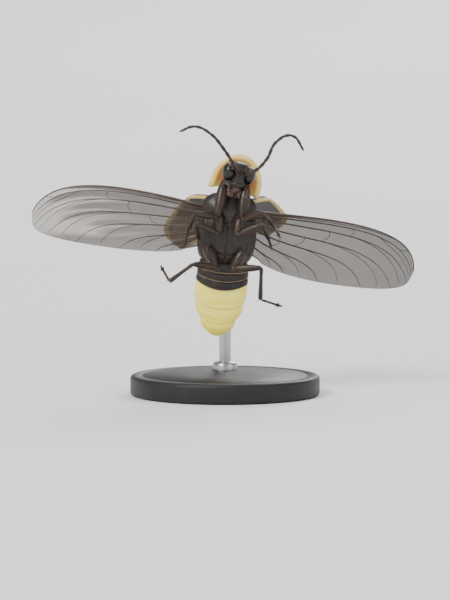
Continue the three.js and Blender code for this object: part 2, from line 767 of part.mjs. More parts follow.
function standBase() {
  const edge = 0.3;
  const profile = [
    flat(0, 0),
    flat(BASE_RADIUS - edge, 0),
    flat(BASE_RADIUS, edge),
    flat(BASE_RADIUS, BASE_THICK - edge),
    flat(BASE_RADIUS - edge, BASE_THICK),
    flat(0, BASE_THICK),
  ];
  return moulded(new THREE.LatheGeometry(profile, 40), (p) => vec(p.x, -p.z, p.y));
}

// The rod stands up behind the tail and bends forward to a small pad against the insect's back.
function standRod(back, outward) {
  const foot = vec(0, ROD_BACK, BASE_THICK + GAP);
  const pad = back.clone().addScaledVector(outward, GAP);
  const off = (distance) => pad.clone().addScaledVector(outward, distance);
  const up = (distance) => foot.clone().add(vec(0, 0, distance));
  const path = new THREE.CubicBezierCurve3(foot, up(9.5), off(4.2), off(0.1));
  const steps = 12;
  const stations = Array.from({ length: steps + 1 }, (_, i) => [mix(0.02, 1, i / steps), ROD_RADIUS]);
  const disc = (from, to, radius) =>
    limb(straight(from, to), [[0, radius], [0.7, radius], [1, radius - 0.2]], 20);
  return fused([limb(path, stations, 10), disc(pad, off(0.5), 1.1), disc(foot, up(0.6), 1.2)]);
}

// The insect, put together

const insect = new THREE.Group();
insect.rotation.set(LEAN, ROLL, 0);
insect.position.z = BASE_THICK + TAIL_CLEARANCE + PIVOT * Math.cos(LEAN);

const body = new THREE.Group();
body.position.z = -PIVOT;
insect.add(body);

const part = new THREE.Group();
part.add(insect);
part.updateMatrixWorld(true);

function add(group, name, geometry, material) {
  const mesh = new THREE.Mesh(geometry, material);
  mesh.name = name;
  group.add(mesh);
}

add(body, "metathorax", fused([metathorax(), ...backRidges()]), BLACK_SHELL);
add(body, "mesothorax", fused([mesothorax(), scutellum()]), BLACK_SHELL);
add(body, "abdomen", fused([abdomen()]), BLACK_SHELL);
add(body, "lantern_front", lanternPlate(LIT), LANTERN);
add(body, "lantern_rear", lanternPlate(LIT + 1), LANTERN);
add(body, "tail_plate", lanternPlate(LIT + 2), LANTERN);
add(body, "pronotum", fused([pronotum()]), ROSY_SHIELD);
add(body, "prothorax", prothorax(), BLACK_SHELL);
add(body, "head", headShell().applyMatrix4(HEAD_FRAME), BLACK_SHELL);

for (const [side, word] of [[-1, "right"], [1, "left"]]) {
  add(body, "eye_" + word, eyeball(side).applyMatrix4(HEAD_FRAME), EYE_BLACK);
  add(body, "antenna_" + word, feeler(side).applyMatrix4(HEAD_FRAME), BROWN_LEG);
  add(body, "palp_" + word, palp(side).applyMatrix4(HEAD_FRAME), BROWN_LEG);
}

for (const name of Object.keys(LEG_POSES)) {
  for (const [piece, geometry] of Object.entries(leg(name))) {
    add(body, piece + "_" + name, geometry, BROWN_LEG);
  }
}

const rightWing = { sweep: degrees(2.2), lift: degrees(7), twist: degrees(32) };
const leftWing = { sweep: degrees(11.3), lift: degrees(7), twist: degrees(3) };
add(body, "hindwing_right", wing(-1, rightWing), MEMBRANE);
add(body, "hindwing_left", wing(1, leftWing), MEMBRANE);
add(body, "elytron_right", wingCase(-1, { open: degrees(22), raise: degrees(56) }), WING_CASE);
add(body, "elytron_left", wingCase(1, { open: degrees(32), raise: degrees(65) }), WING_CASE);

const back = vec(0, TRUNK_RISE + 0.14, WAIST + 2.2).applyMatrix4(body.matrixWorld);
const outward = vec(0, 1, 0).transformDirection(body.matrixWorld);
add(part, "stand_base", standBase(), STAND_BLACK);
add(part, "stand_rod", standRod(back, outward), STEEL);

export default part;
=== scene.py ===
import math

import bpy
import numpy as np
from mathutils import Matrix, Vector


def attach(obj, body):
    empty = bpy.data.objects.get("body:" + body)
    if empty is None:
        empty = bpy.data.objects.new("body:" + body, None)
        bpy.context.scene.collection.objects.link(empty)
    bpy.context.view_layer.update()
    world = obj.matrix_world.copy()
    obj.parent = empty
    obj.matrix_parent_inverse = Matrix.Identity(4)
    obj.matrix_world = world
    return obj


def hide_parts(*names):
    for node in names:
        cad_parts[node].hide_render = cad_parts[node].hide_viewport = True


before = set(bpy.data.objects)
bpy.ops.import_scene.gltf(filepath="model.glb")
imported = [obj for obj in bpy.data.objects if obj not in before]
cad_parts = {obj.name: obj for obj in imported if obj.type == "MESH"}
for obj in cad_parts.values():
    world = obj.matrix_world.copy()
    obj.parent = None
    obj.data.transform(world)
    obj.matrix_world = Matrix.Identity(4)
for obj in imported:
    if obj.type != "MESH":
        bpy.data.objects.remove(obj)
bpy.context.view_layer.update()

# Camera and studio
# The drawing's own view: level with the insect's waist and square to its underside, in a frame 60 mm tall.
# The insect stands in a wide pale bowl whose floor runs up into its wall, under one broad lamp from the
# front left, a weaker one from the right, one above and one behind that shines through the wings.
AIM = Vector((0, 0, 0.0095))
VIEW_HEIGHT = 0.060
CAMERA_AWAY = 0.28
CAMERA_UP = math.radians(4.5)
SENSOR = 24
FLOOR_RADIUS = 0.4
WALL_RADIUS = 2.2  # of the curve between the floor and the wall
WALL_STEPS = 20
SKY_COLOR = (0.9, 0.93, 1, 1)
SKY_STRENGTH = 0.4
LAMPS = {
    # name: place, width, power, colour
    "key": ((-0.75, -0.85, 0.95), 0.55, 22, (1, 0.97, 0.93)),
    "fill": ((0.95, -0.75, 0.45), 0.8, 4, (0.93, 0.96, 1)),
    "rim": ((0.35, 0.95, 0.75), 0.6, 12, (1, 1, 1)),
    "top": ((0, 0.05, 1.3), 1.0, 8, (1, 1, 1)),
}

eye_line = Vector((0, -math.cos(CAMERA_UP), math.sin(CAMERA_UP)))
bpy.ops.object.camera_add(location=AIM + CAMERA_AWAY * eye_line, rotation=(math.pi / 2 - CAMERA_UP, 0, 0))
camera = bpy.context.object
camera.data.sensor_fit = "VERTICAL"
camera.data.sensor_height = SENSOR
camera.data.lens = SENSOR * CAMERA_AWAY / VIEW_HEIGHT
camera.data.clip_start = 0.01
bpy.context.scene.camera = camera

for name, (place, size, power, color) in LAMPS.items():
    bpy.ops.object.light_add(type="AREA", location=place)
    lamp = bpy.context.object
    lamp.name = name
    lamp.data.size = size
    lamp.data.energy = power
    lamp.data.color = color
    lamp.rotation_euler = (AIM - lamp.location).to_track_quat("-Z", "Y").to_euler()

world = bpy.data.worlds.new("studio")
world.use_nodes = True
world.node_tree.nodes["Background"].inputs["Color"].default_value = SKY_COLOR
world.node_tree.nodes["Background"].inputs["Strength"].default_value = SKY_STRENGTH
bpy.context.scene.world = world


def node(material, kind, inputs, **settings):
    """A new node. An input is a number, a colour or another node's output."""
    new = material.node_tree.nodes.new("ShaderNode" + kind)
    for setting, value in settings.items():
        setattr(new, setting, value)
    for socket, value in inputs.items():
        if isinstance(value, bpy.types.NodeSocket):
            material.node_tree.links.new(value, new.inputs[socket])
        else:
            new.inputs[socket].default_value = value
    return new


def object_place(material):
    return node(material, "TexCoord", {}).outputs["Object"]


def noise(material, scale, place=None, detail=3):
    """Cloudy values from 0 to 1. scale is the number of clouds in a metre."""
    place = place or object_place(material)
    return node(material, "TexNoise", {"Vector": place, "Scale": scale, "Detail": detail}).outputs["Fac"]


def ramp(material, value, stops):
    """Colours or greys along a value: stops are (position, colour)."""
    new = node(material, "ValToRGB", {"Fac": value})
    points = new.color_ramp.elements
    while len(points) < len(stops):
        points.new(0.5)
    for point, (position, color) in zip(points, stops):
        point.position = position
        point.color = (*color, 1)
    return new.outputs["Color"]


def connect(material, socket, value):
    shader = material.node_tree.nodes["Principled BSDF"]
    material.node_tree.links.new(value, shader.inputs[socket])


def relief(material, layers):
    """Bumps laid over each other: each layer is (value, height in metres)."""
    under = {}
    for value, height in layers:
        bump = node(material, "Bump", {"Height": value, "Distance": height, "Strength": 1, **under})
        under = {"Normal": bump.outputs["Normal"]}
    if layers:
        connect(material, "Normal", under["Normal"])


def made_of(name, sockets):
    """A new material with some of its shader's own sockets set."""
    material = bpy.data.materials.new(name)
    material.use_nodes = True
    shader = material.node_tree.nodes["Principled BSDF"]
    for socket, value in sockets.items():
        shader.inputs[socket].default_value = value
    return material


def clouded(name, sockets, scale, shades, bumps=()):
    """A material whose colour drifts through its shades, with scale clouds to the metre. Each bump is
    (pattern, the pattern's own scale, height in metres)."""
    material = made_of(name, sockets)
    connect(material, "Base Color", ramp(material, noise(material, scale), shades))
    relief(material, [(pattern(material, size), height) for pattern, size, height in bumps])
    return material


def picked(*pieces):
    """Selects these pieces and nothing else, and makes the first of them active."""
    bpy.ops.object.select_all(action="DESELECT")
    for piece in pieces:
        piece.select_set(True)
    if pieces:
        bpy.context.view_layer.objects.active = pieces[0]


def fresh(add, **settings):
    """A new piece from one of Blender's own forms, selected alone."""
    picked()
    add(**settings)
    return bpy.context.object


def opened(piece):
    """Takes a piece into edit mode with all of it selected."""
    picked(piece)
    bpy.ops.object.mode_set(mode="EDIT")
    bpy.ops.mesh.select_all(action="SELECT")


bowl_white = clouded("bowl_white", {"Roughness": 0.9}, 6, [(0.3, (0.74,) * 3), (0.7, (0.78,) * 3)])

bowl = fresh(bpy.ops.mesh.primitive_circle_add, vertices=96, radius=FLOOR_RADIUS, fill_type="NGON")
bowl.name = "bowl"
opened(bowl)
radius = FLOOR_RADIUS
height = 0
for step in range(1, WALL_STEPS + 1):
    turn = step / WALL_STEPS * math.pi / 2
    to_radius = FLOOR_RADIUS + WALL_RADIUS * math.sin(turn)
    to_height = WALL_RADIUS * (1 - math.cos(turn))
    growth = to_radius / radius
    bpy.ops.mesh.extrude_region_move(TRANSFORM_OT_translate={"value": (0, 0, to_height - height)})
    bpy.ops.transform.resize(value=(growth, growth, 1), center_override=(0, 0, to_height))
    radius = to_radius
    height = to_height
bpy.ops.mesh.delete(type="ONLY_FACE")
bpy.ops.object.mode_set(mode="OBJECT")
bpy.ops.object.shade_smooth()
bowl.data.materials.append(bowl_white)

# Stand
# A plain display stand. Its base is a turned steel disc with a rounded rim, painted matt black. A satin
# steel rod stands in a collar near the base's rear, bends forward and ends in a pad on the insect's back.
MM = 0.001
BASE_RADIUS = 9.5
BASE_THICK = 2
RIM_ROUND = 0.35
GROOVE = [(1.1, 0), (1.16, 0.06), (1.3, 0.06), (1.36, 0)]  # in from the disc's edge, and how deep
ROD_RADIUS = 0.6
ROD_BACK = 5.2
ROD_SUNK = 0.3
ROD_STRAIGHT = 9.8  # how hard the rod runs up before it bends
ROD_LEVEL = 4.4  # and how hard it runs forward at its end
COLLAR = [(1.95, 1.1), (1.95, 1.24), (2.5, 1.24), (2.68, 1.16), (2.8, 1.0), (2.82, 0.7)]
PAD = [(0, 0.85), (0.03, 1.02), (0.12, 1.1), (0.34, 1.1), (0.46, 1.0), (0.5, 0.8), (0.75, 0.66)]
PAD_AT = Vector((0, 1.64, 10.3))  # on the thorax's back
PAD_GAP = 0.05  # between that place and the pad
TAIL_HEIGHT = 5.5  # the tail's tip over the table, before the insect leans
LEAN = math.radians(10)
ROLL = math.radians(6)
PIVOT = 9
HANG = TAIL_HEIGHT + PIVOT * math.cos(LEAN)
WORLD = Matrix.Scale(MM, 4)
BODY = (
    WORLD
    @ Matrix.Translation((0, 0, HANG))
    @ Matrix.Rotation(LEAN, 4, "X")
    @ Matrix.Rotation(ROLL, 4, "Y")
    @ Matrix.Translation((0, 0, -PIVOT))
)
SMOOTH_UNDER = math.radians(50)


def handed_over(piece, name, material, nodes=(), place=BODY):
    """Moves a piece shaped in millimetres to its place in the world, hangs it on the root body and hides the
    CAD parts that it replaces.
    """
    piece.name = name
    piece.data.name = name
    piece.data.materials.clear()
    piece.data.materials.append(material)
    piece.data.transform(place)
    piece.data.update()
    picked(piece)
    bpy.ops.object.shade_smooth_by_angle(angle=SMOOTH_UNDER)
    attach(piece, "root")
    if nodes:
        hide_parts(*nodes)


def finished_with(piece, kind, **settings):
    """Adds a modifier and applies it."""
    picked(piece)
    modifier = piece.modifiers.new(kind.lower(), kind)
    for setting, value in settings.items():
        setattr(modifier, setting, value)
    bpy.ops.object.modifier_apply(modifier=modifier.name)
    return piece


def joined(pieces):
    picked(*pieces)
    bpy.ops.object.join()
    return pieces[0]


def outwards(piece):
    """Turns all faces of a piece outwards."""
    opened(piece)
    bpy.ops.mesh.normals_make_consistent(inside=False)
    bpy.ops.object.mode_set(mode="OBJECT")
    return piece


def shifted(piece, x, y, z):
    piece.data.transform(Matrix.Translation((x, y, z)))
    return piece


def pointing(place, way):
    """The frame of a form that stands at a place and runs up along a way."""
    return Matrix.Translation(place) @ way.to_track_quat("Z", "Y").to_matrix().to_4x4()


def bent_along(piece, points):
    """Bends a straight form, which runs up Z, along a smooth curve through the points."""
    curve = bpy.data.curves.new("path", "CURVE")
    curve.dimensions = "3D"
    curve.resolution_u = 24
    curve.use_stretch = True
    curve.use_deform_bounds = True
    spline = curve.splines.new("BEZIER")
    spline.bezier_points.add(len(points) - 1)
    for knot, point in zip(spline.bezier_points, points):
        knot.co = point
        knot.handle_left_type = "AUTO"
        knot.handle_right_type = "AUTO"
    path = bpy.data.objects.new("path", curve)
    bpy.context.scene.collection.objects.link(path)
    bpy.context.view_layer.update()
    finished_with(piece, "CURVE", object=path, deform_axis="POS_Z")
    bpy.data.objects.remove(path)
    return piece


def drawn_out(sides, stations):
    """A closed form drawn out upwards from a disc. A station is (height, half width, back, belly):
    back and belly are how far it reaches to +Y and to -Y."""
    piece = fresh(bpy.ops.mesh.primitive_circle_add, vertices=sides, radius=1, fill_type="NGON")
    opened(piece)
    at = Vector((0, 0, 0))
    size = Vector((1, 1, 1))
    for i, (height, wide, back, belly) in enumerate(stations):
        to = Vector((0, (back - belly) / 2, height))
        grown = Vector((wide, (back + belly) / 2, 1))
        if i:
            bpy.ops.mesh.extrude_region_move(TRANSFORM_OT_translate={"value": to - at})
        else:
            bpy.ops.transform.translate(value=to - at)
        bpy.ops.transform.resize(value=(grown.x / size.x, grown.y / size.y, 1), center_override=to)
        at = to
        size = grown
    bpy.ops.object.mode_set(mode="OBJECT")
    return outwards(piece)


def turned(sides, profile):
    """A round form drawn out along Z: the profile is (height, radius)."""
    return drawn_out(sides, [(height, radius, radius, radius) for height, radius in profile])


def bezier(handles, share):
    a, b, c, d = handles
    rest = 1 - share
    return a * rest**3 + b * 3 * rest**2 * share + c * 3 * rest * share**2 + d * share**3


stand_paint = clouded(
    "stand_paint",
    {"Roughness": 0.5, "Specular IOR Level": 0.35},
    500,
    [(0.3, (0.008, 0.008, 0.009)), (0.75, (0.015, 0.015, 0.017))],
)
relief(stand_paint, [(noise(stand_paint, 9000, detail=2), 0.000006), (noise(stand_paint, 2500), 0.000004)])
stand_steel = made_of("stand_steel", {"Metallic": 1, "Base Color": (0.45, 0.45, 0.47, 1)})
brushed = node(stand_steel, "Mapping", {"Vector": object_place(stand_steel), "Scale": (1, 1, 0.06)})
scratches = noise(stand_steel, 20000, brushed.outputs["Vector"])
connect(stand_steel, "Roughness", ramp(stand_steel, scratches, [(0.3, (0.28,) * 3), (0.8, (0.4,) * 3)]))
relief(stand_steel, [(scratches, 0.000001)])

rim = [(1 - math.cos(turn), BASE_RADIUS - RIM_ROUND * (1 - math.sin(turn))) for turn in (0, 0.4, 0.8, 1.2)]
rim.append((1, BASE_RADIUS))
profile = [(0, 0.4 * BASE_RADIUS), (0, BASE_RADIUS - RIM_ROUND)]
profile += [(RIM_ROUND * up, radius) for up, radius in rim[1:]]
profile += [(BASE_THICK - RIM_ROUND * up, radius) for up, radius in rim[::-1]]
profile += [(BASE_THICK - deep, BASE_RADIUS - inwards) for inwards, deep in GROOVE]
profile.append((BASE_THICK, 3))
handed_over(turned(128, profile), "stand_disc", stand_paint, ["stand_base"], WORLD)

off_back = (BODY.to_3x3() @ Vector((0, 1, 0))).normalized()
foot = Vector((0, ROD_BACK, BASE_THICK - ROD_SUNK))
pad_point = WORLD.inverted() @ BODY @ PAD_AT + PAD_GAP * off_back
handles = [foot, foot + Vector((0, 0, ROD_STRAIGHT)), pad_point + ROD_LEVEL * off_back, pad_point]
rod = turned(32, [(z, ROD_RADIUS) for z in range(41)])
bent_along(rod, [bezier(handles, i / 10) for i in range(11)])
collar = shifted(turned(48, COLLAR), 0, ROD_BACK, 0)
pad = turned(40, PAD)
pad.data.transform(pointing(pad_point, off_back))
handed_over(joined([rod, collar, pad]), "stand_post", stand_steel, ["stand_rod"], WORLD)

# Thorax
# The barrel behind the hood that carries the wings and the two hind pairs of legs: one shell of dark brown
# horny plates, grown together along fine seams, with short hair lying backwards over it.
TAILWARD = (0, 0, -1)
TRUNK_RISE = 1.5
THORAX_RINGS = [
    (7.85, 1.85, 0.85, 1.0),
    (8.05, 2.27, 1.08, 1.3),
    (8.5, 2.68, 1.3, 1.58),
    (9.5, 2.9, 1.48, 1.7),
    (10.9, 2.92, 1.5, 1.7),
    (11.9, 2.79, 1.48, 1.62),
    (12.4, 2.58, 1.4, 1.47),
    (12.65, 2.5, 1.36, 1.4),
    (12.9, 2.6, 1.42, 1.42),
    (13.4, 2.76, 1.46, 1.38),
    (13.85, 2.74, 1.42, 1.24),
    (14.25, 2.54, 1.3, 1.04),
    (14.6, 2.12, 1.1, 0.82),
    (14.95, 1.45, 0.85, 0.6),
]
THORAX_LUMPS = [
    # on each side: centre, half size, height
    ((1.1, -1.6, 9.9), (1.1, 1, 1.6), 0.12),
    ((0.85, 1.5, 11.0), (0.55, 1, 1.9), 0.24),
    ((2.0, 1.1, 12.0), (0.5, 0.6, 0.7), 0.16),
    ((1.9, 1.2, 13.6), (0.5, 0.6, 0.5), 0.16),
    ((2.9, -0.5, 10.6), (1, 0.6, 1.3), 0.08),
    ((1.0, -1.5, 13.5), (0.8, 1, 0.45), 0.1),
]


def mirrored(line):
    """A line and its mirror image."""
    return [line, [(-x, z) for x, z in line]]


BREAST_SEAMS = [
    [(0, 7.9), (0, 12.1)],
    *mirrored([(0.2, 8.95), (1.2, 9.15), (2.1, 9.0), (2.7, 8.6)]),
    *mirrored([(1.9, 9.0), (2.12, 10.4), (2.2, 12.3)]),
    *mirrored([(0.1, 12.25), (0.9, 12.6), (2.4, 12.62)]),
    *mirrored([(0.5, 12.7), (1.25, 14.0), (1.5, 14.6)]),
]
BACK_SEAMS = [
    [(0, 8.0), (0, 12.3)],
    *mirrored([(1.5, 8.3), (1.6, 10.5), (1.3, 12.4)]),
    *mirrored([(0, 12.62), (2.3, 12.62)]),
    *mirrored([(1.0, 12.8), (1.25, 14.5)]),
    *mirrored([(0, 8.9), (1.4, 9.2), (2.4, 8.8)]),
]
FLANK_SEAMS = [
    [(-1.1, 8.2), (-0.9, 10.2), (0.1, 12.5)],
    [(0.2, 8.4), (0.3, 10.8), (0.7, 12.3)],
    [(-0.2, 12.7), (0.1, 14.2)],
    [(-1.3, 12.62), (1.3, 12.62)],
]


def rounded(piece, levels):
    return finished_with(piece, "SUBSURF", levels=levels, render_levels=levels)


def read_points(mesh, what="co"):
    values = np.empty(len(mesh.vertices) * 3)
    mesh.vertices.foreach_get(what, values)
    return values.reshape(-1, 3)


def moved(piece, place):
    """Moves each point of a piece: place takes the points and their normals and gives the new points."""
    points = place(read_points(piece.data), read_points(piece.data, "normal"))
    piece.data.vertices.foreach_set("co", np.ascontiguousarray(points).ravel())
    piece.data.update()
    return piece


def seam(points, normals, line, width, depth, side, axes=(0, 2)):
    """Presses a narrow groove into one side of a skin, along a line of corners. The line is drawn on two
    axes and seen along the third."""
    flat = points[:, list(axes)]
    gap = np.full(len(points), np.inf)
    for start, end in zip(line, line[1:]):
        run = np.subtract(end, start)
        share = np.clip(((flat - start) @ run) / (run @ run), 0, 1)
        gap = np.minimum(gap, np.linalg.norm(flat - start - share[:, None] * run, axis=1))
    facing = np.clip(normals[:, 3 - sum(axes)] * side * 2.5, 0, 1)
    return points - normals * (depth * np.exp(-((gap / width) ** 2)) * facing)[:, None]


def swelling(points, normals, centre, size, height):
    """Raises a soft lump round a centre."""
    away = np.linalg.norm((points - np.array(centre)) / np.array(size), axis=1)
    return points + normals * (height * np.exp(-(away**2)))[:, None]


def thorax_form(points, normals):
    for side in (-1, 1):
        for (x, y, z), size, height in THORAX_LUMPS:
            points = swelling(points, normals, (side * x, y, z), size, height)
    for line in BREAST_SEAMS:
        points = seam(points, normals, line, width=0.075, depth=0.07, side=-1)
    for line in BACK_SEAMS:
        points = seam(points, normals, line, width=0.08, depth=0.09, side=1)
    for side in (-1, 1):
        for line in FLANK_SEAMS:
            points = seam(points, normals, line, width=0.075, depth=0.08, side=side, axes=(1, 2))
    return points


HORN_SHADES = [(0.25, (0.005, 0.0035, 0.003)), (0.55, (0.011, 0.007, 0.005)), (0.8, (0.03, 0.016, 0.01))]
HORN_PITS = 9500


def cells(material, scale):
    """Values from 0 in the middle of each small cell to 1 at its edge."""
    web = node(material, "TexVoronoi", {"Vector": object_place(material), "Scale": scale})
    return web.outputs["Distance"]


def horn(name, coat, coat_roughness):
    """Black-brown shell, finely pitted and duller in its pits."""
    sockets = {"Specular IOR Level": 0.4, "Coat Weight": coat, "Coat Roughness": coat_roughness}
    bumps = [(noise, 2500, 0.000008), (cells, HORN_PITS, 0.00001)]
    material = clouded(name, sockets, 700, HORN_SHADES, bumps)
    dull_pits = ramp(material, cells(material, HORN_PITS), [(0, (0.55,) * 3), (0.5, (0.4,) * 3)])
    connect(material, "Roughness", dull_pits)
    return material


def hair_color(name, dark, light):
    return clouded(name, {"Roughness": 0.5, "Sheen Weight": 0.2}, 3000, [(0.3, dark), (0.7, light)])


black_cuticle = horn("black_cuticle", 0.08, 0.3)
brown_hair = hair_color("brown_hair", (0.06, 0.038, 0.022), (0.2, 0.14, 0.085))

# a hair is three corners at its root, three half way and one at its tip
HAIR_RING = np.array([[math.cos(a), math.sin(a)] for a in (math.pi / 2, math.pi * 7 / 6, math.pi * 11 / 6)])
HAIR_SIDES = [[0, 1, 4], [0, 4, 3], [1, 2, 5], [1, 5, 4], [2, 0, 3], [2, 3, 5]]
HAIR_FACES = np.array(HAIR_SIDES + [[3, 4, 6], [4, 5, 6], [5, 3, 6], [2, 1, 0]])
HAIR_PATCH = np.array([[0, 0], [0.5, 0], [1, 0], [0, 0.5], [0.5, 0.5], [1, 0.5], [0.5, 1]]) - 0.5
PATCH_SIZE = 0.003
HAIR_LENGTHS = (0.7, 1.25)  # the shortest and the longest, as shares of the length that is asked for
HAIR_STRAY = 0.25  # how far the ways that they lie differ
RISE_STRAY = 0.12
LEAST_RISE = 0.08
TIP_RISE = 0.45  # how much of its rise a hair keeps in its outer half
MIDDLE_THICK = 0.7


def unwrapped(piece):
    """Lays the skin's own shape out flat, for the hairs' patches."""
    opened(piece)
    bpy.ops.uv.smart_project(angle_limit=math.radians(60), island_margin=0.01)
    bpy.ops.object.mode_set(mode="OBJECT")
    return piece


def unit(vectors):
    return vectors / np.linalg.norm(vectors, axis=1)[:, None]


def hairs(skin, count, length, thick, lie, rise, seed, where=None):
    """Short bent hairs rooted all over a skin. lie is the way they lie, rise how far they stand up from it,
    and where gives each place a share from its points and normals."""
    draw = np.random.default_rng(seed)
    mesh = skin.data
    mesh.calc_loop_triangles()
    corners, loops = np.empty((2, len(mesh.loop_triangles), 3), int)
    mesh.loop_triangles.foreach_get("vertices", corners.ravel())
    mesh.loop_triangles.foreach_get("loops", loops.ravel())
    flat = np.empty((len(mesh.loops), 2))
    mesh.uv_layers[0].uv.foreach_get("vector", flat.ravel())
    points = read_points(mesh)
    normals = read_points(mesh, "normal")
    a, b, c = (points[corners[:, i]] for i in range(3))
    share = np.linalg.norm(np.cross(b - a, c - a), axis=1)
    if where:
        share = share * where((a + b + c) / 3, normals[corners].mean(axis=1))
    chosen = draw.choice(len(corners), count, p=share / share.sum())
    weights = draw.dirichlet((1, 1, 1), count)
    root = np.einsum("ij,ijk->ik", weights, points[corners[chosen]])
    up = unit(np.einsum("ij,ijk->ik", weights, normals[corners[chosen]]))
    patch = np.einsum("ij,ijk->ik", weights, flat[loops[chosen]])
    way = np.broadcast_to(np.asarray(lie(root) if callable(lie) else lie, float), root.shape)
    way = way + draw.normal(0, HAIR_STRAY, root.shape)
    way = unit(way - up * np.einsum("ij,ij->i", way, up)[:, None])
    lift = np.clip(draw.normal(rise, RISE_STRAY, count), LEAST_RISE, 1)[:, None]
    size = (length * draw.uniform(*HAIR_LENGTHS, count))[:, None]
    first = up * lift + way * np.sqrt(1 - lift**2)
    second = up * lift * TIP_RISE + way * np.sqrt(1 - (lift * TIP_RISE) ** 2)
    across = unit(np.cross(first, up + 1e-4))
    over = np.cross(across, first)
    ring = HAIR_RING[None, :, :1] * across[:, None] + HAIR_RING[None, :, 1:] * over[:, None]
    base = (root - up * thick * 0.8)[:, None] + ring * thick
    middle = (root + first * size * 0.5)[:, None] + ring * thick * MIDDLE_THICK
    tip = (root + (first + second) * size * 0.5)[:, None]
    faces = (HAIR_FACES[None] + 7 * np.arange(count)[:, None, None]).reshape(-1, 3)
    coat = bpy.data.meshes.new("hairs")
    coat.from_pydata(np.concatenate([base, middle, tip], axis=1).reshape(-1, 3).tolist(), [], faces.tolist())
    places = (patch[:, None] + HAIR_PATCH[None] * PATCH_SIZE).reshape(-1, 2)
    layer = coat.uv_layers.new(name="OFBake")
    layer.uv.foreach_set("vector", np.clip(places, 0.001, 0.999)[faces.ravel()].ravel())
    piece = bpy.data.objects.new("hairs", coat)
    bpy.context.scene.collection.objects.link(piece)
    return piece


thorax = moved(rounded(unwrapped(drawn_out(32, THORAX_RINGS)), 3), thorax_form)
thorax_hair = hairs(thorax, 7000, length=0.15, thick=0.007, lie=TAILWARD, rise=0.25, seed=11)
handed_over(thorax_hair, "thorax_hair", brown_hair)
handed_over(thorax, "thorax", black_cuticle, ["metathorax", "mesothorax"])

# the small three-sided plate between the roots of the wing cases
SCUTELLUM_RINGS = [
    (12.85, 0.08, 0.04, 0.1),
    (13.0, 0.3, 0.12, 0.2),
    (13.5, 0.68, 0.2, 0.3),
    (14.0, 0.85, 0.2, 0.3),
    (14.2, 0.7, 0.1, 0.3),
]
scutellum = shifted(drawn_out(24, SCUTELLUM_RINGS), 0, TRUNK_RISE, 0)
handed_over(rounded(scutellum, 2), "scutellum", black_cuticle)

# small horny plates in the skin at the root of each wing: place and half size
HINGE_PLATES = [
    ((2.54, 0.8, 12.3), (0.24, 0.26, 0.4)),
    ((2.66, 0.72, 11.45), (0.2, 0.24, 0.46)),
    ((2.66, 0.72, 10.6), (0.16, 0.22, 0.42)),
    ((2.15, 1.25, 13.75), (0.4, 0.24, 0.4)),
    ((1.8, 1.36, 13.15), (0.3, 0.18, 0.3)),
]
KNOB = [(-0.95, 0.25), (-0.75, 0.65), (-0.3, 0.95), (0.25, 1.0), (0.7, 0.7), (0.92, 0.3)]
hinge_knobs = []
for side in (-1, 1):
    for (x, y, z), half in HINGE_PLATES:
        knob = turned(16, KNOB)
        knob.data.transform(Matrix.Translation((side * x, y, z)) @ Matrix.Diagonal((*half, 1)))
        hinge_knobs.append(rounded(knob, 2))
handed_over(joined(hinge_knobs), "wing_hinges", black_cuticle)

# Abdomen
# Six rings that slide into one another like the tubes of a telescope. Each has a dark plate over the back
# and one under the belly, joined at the sides by soft skin, and its hind edge stands over the next ring.
# The last three belly plates are the light organ, below.
RINGS = [
    # front, hind, half width, rise, drop, how far the sides are carried towards the head
    (7.96, 6.95, 2.42, 1.1, 1.25, 0),
    (6.95, 6.05, 2.52, 1.08, 1.2, 0.25),
    (6.05, 5.15, 2.56, 1.0, 1.15, 0.5),
    (5.15, 3.15, 2.6, 0.9, 1.08, 0.75),
    (3.15, 1.65, 2.4, 0.75, 1.0, 0.45),
    (1.65, 0.32, 1.78, 0.5, 0.82, 0.45),
]
TAIL = (0.32, 0.1, 0.8, 0.06, 0.1, 0.25)  # what the last ring narrows to
LAST = len(RINGS) - 1
LIT = 3  # the first ring whose belly plate is part of the light organ
PLATE_THICK = 0.07
PLATE_WRAP = 94  # degrees from the middle line to a plate's edge
BELLY_WRAP = 86
TUCK = 0.13  # how much narrower a plate is where it goes in under the ring before it


def mix(a, b, share):
    return a + (b - a) * share


def ease(value, low, high):
    """0 below low, 1 above high and a soft step between them."""
    share = np.clip((value - low) / (high - low), 0, 1)
    return share * share * (3 - 2 * share)


def laid_out(across, along, place):
    """A grid laid over a surface: place takes shares u across and v along and gives the points."""
    piece = fresh(bpy.ops.mesh.primitive_grid_add, x_subdivisions=across, y_subdivisions=along, size=1)
    return moved(piece, lambda points, normals: place(points[:, 0] + 0.5, points[:, 1] + 0.5))


